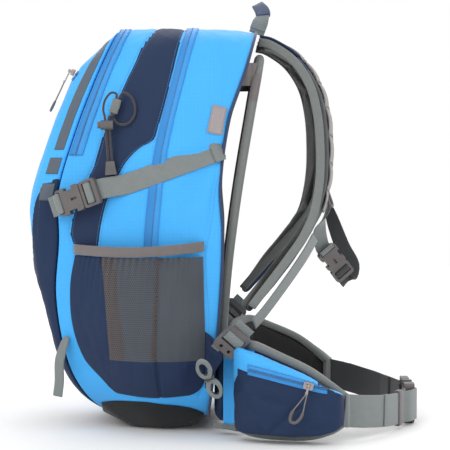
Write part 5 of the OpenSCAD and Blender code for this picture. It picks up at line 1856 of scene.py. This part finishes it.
# ---- cord tab on the bag
tabFrame = frameOf((-35.5, -125.6, 405), (0.3, 0, 0.95), (0, -1, 0))
oval = [roundedOval(k, 40, 0.45, 0.55) for k in range(40)]
rows = []
for along, grow in ((-9, -0.5), (-8.4, 0), (0, 0.25), (8.4, 0), (9, -0.5)):
    rows.append([inFrame(tabFrame, (along, (5.1 + grow) * a, (3.2 + grow) * b)) for a, b in oval])
for along in (9, 3, -3, -9):
    rows.append([inFrame(tabFrame, (along, 4.15 * a, 2.35 * b)) for a, b in oval])
rows.append(rows[0])
tab = outward(gridMesh("poleTab", rows, ringed=True))
place(tab, finish["binding"], replaces=("pole_tab",))


# ---- zip pulls: a metal bar on the slider's pin and a cord loop with a moulded grip
pullShape = dict(pinHeight=6.4, sway=0.2, spread=5.8, cord=0.75)


def buildPull(name, frame, bar, gripAt, grip, wide):
    sway = pullShape["sway"] if wide else 0  # the loop hangs plumb although its zip slopes
    pin = lambda x, y, z: inFrame(frame, (x + sway * max(0, y - bar), y, pullShape["pinHeight"] + z))
    outline = ((-1, -0.6), (-0.8, -1), (0.8, -1), (1, -0.6), (1, 0.6), (0.8, 1), (-0.8, 1), (-1, 0.6))
    widths = ((0.4, 1.5), (2.0, 1.7), (bar * 0.5, 1.25), (bar - 2.5, 1.7), (bar - 0.6, 1.7), (bar + 0.6, 1.1))
    plate = [[pin(x * w, y, z * 0.72) for x, z in outline] for y, w in widths]
    metalBar = outward(gridMesh(name + "Bar", plate, ringed=True, capped=True))
    turns = [k * math.tau / 20 for k in range(20)]
    ringRows = [[pin(x, r * math.cos(a), r * math.sin(a)) for a in turns]
                for x, r in ((-1.6, 1.2), (-1.7, 2.1), (1.7, 2.1), (1.6, 1.2), (-1.6, 1.2))]
    eyelet = outward(gridMesh(name + "Eye", ringRows, ringed=True))
    spread, top, length = pullShape["spread"], bar - 1.4, grip[1]
    low = [(spread * 1.02, gripAt + length * 0.45, 0), (spread * 0.62, gripAt + length * 0.82, 0),
           (0, gripAt + length - 1.8, 0)]
    if wide:
        loopLine = [(0, top, 1.3), (0.9, top + 1.5, 0.4), (spread * 0.55, mix(top, gripAt, 0.55), 0),
                    (spread, gripAt + 1, 0)] + low
        rightEnd = [(spread, gripAt + 0.5, 0)] + low[:2]
        ends = through([(-x, y, z) for x, y, z in rightEnd] + [low[2]] + rightEnd[::-1], 6)
        last = len(ends) - 1
        radii = [mix(1.3, 2.0, clamp(min(k, last - k) / 3)) for k in range(last + 1)]
        handle = tubeMesh(name + "Grip", [pin(*p) for p in ends], radii, 12)
    else:
        loopLine = [(0, top, 1.3), (0.8, top + 1.5, 0.4), (1.2, mix(top, gripAt, 0.5), 0), (1.3, gripAt + 2, 0),
                    (1.2, gripAt + 6, 0), (0.7, gripAt + 9, 0), (0, gripAt + 10, 0)]
        gripRows = []
        for k in range(13):
            t = k / 12
            w = grip[0] / 2 * (0.62 + 0.38 * math.sin(math.pi * min(1, t * 0.62 + 0.05)))
            w *= 1 - 0.55 * clamp((t - 0.85) / 0.15) ** 2
            h = 1.6 * (1 - 0.35 * abs(2 * t - 1) ** 3)
            oval = [roundedOval(a, 28, 0.6, 0.6) for a in range(28)]
            gripRows.append([pin(w * x, gripAt + length * t, h * z) for x, z in oval])
        handle = outward(gridMesh(name + "Grip", gripRows, ringed=True, capped=True))
    half = through(loopLine, 6)
    whole = [Vector((-p.x, p.y, p.z)) for p in reversed(half)] + half[1:]
    loop = tubeMesh(name + "Loop", [pin(*p) for p in whole], pullShape["cord"], 10)
    for piece, key in ((metalBar, "metal"), (eyelet, "metal"), (loop, "cordLight"), (handle, "darkPlastic")):
        piece.data.materials.append(finish[key])
    return joined(name, [metalBar, eyelet, loop, handle])


def sliderFrame(s, z0, z1, lift):
    # the slider's pin lies across a steep zip on the left side, and its pull hangs down the zip
    at = lambda t, z: Vector((depthAt(t, z), sideY(depthAt(t, z), z), z))
    down = (at(s, z1) - at(s, z0)).normalized()
    level = squareTo(at(s - 0.04, z0) - at(s + 0.03, z0), down)
    out = level.cross(down)
    return at(s, z0) + lift * out, level, down, out


hipFrame = frameOf(finPoint(8, 32.35, zipHeight(finAt(8).x)), (-35, 3.2, 9), (0, -1, 0))
mainFrame = sliderFrame(0.99, 395, 350, 2.7)
frontFrame = sliderFrame(1.96, 430, 392, 3.4)
faceFrame = frameOf((-91.744, -54, 448), (0, 1, 0), (-0.9, 0, 0.44))
pulls = [("hipPullRight", hipFrame, 11, 31, (11, 17), "hip_pull_right", True),
         ("mainPull", mainFrame, 14, 26, (7, 16), "main_pull", False),
         ("frontPull", frontFrame, 14, 26, (7, 16), "front_pull", False),
         ("pocketPull", faceFrame, 16, 42, (7, 15), "pocket_pull", False)]
for name, frame, bar, gripAt, grip, node, wide in pulls:
    pull = buildPull(name, frame, bar, gripAt, grip, wide)
    place(pull, None, body=node, replaces=(node,))
    if node.endswith("right"):
        twin = node.replace("right", "left")
        place(mirrored(pull, name.replace("Right", "Left")), None, body=twin, replaces=(twin,))
print("stage: pulls")

# ---- floor
floor = makeMesh("floor", [(-2500, -2500, 0), (2500, -2500, 0), (2500, 2500, 0), (-2500, 2500, 0)], [(0, 1, 2, 3)],
                 [(0, 0), (5, 0), (5, 5), (0, 5)])
floor.data.materials.append(moulded("paleFloor", (0.93, 0.93, 0.93), rough=0.8, grain=3, wear=0.01))
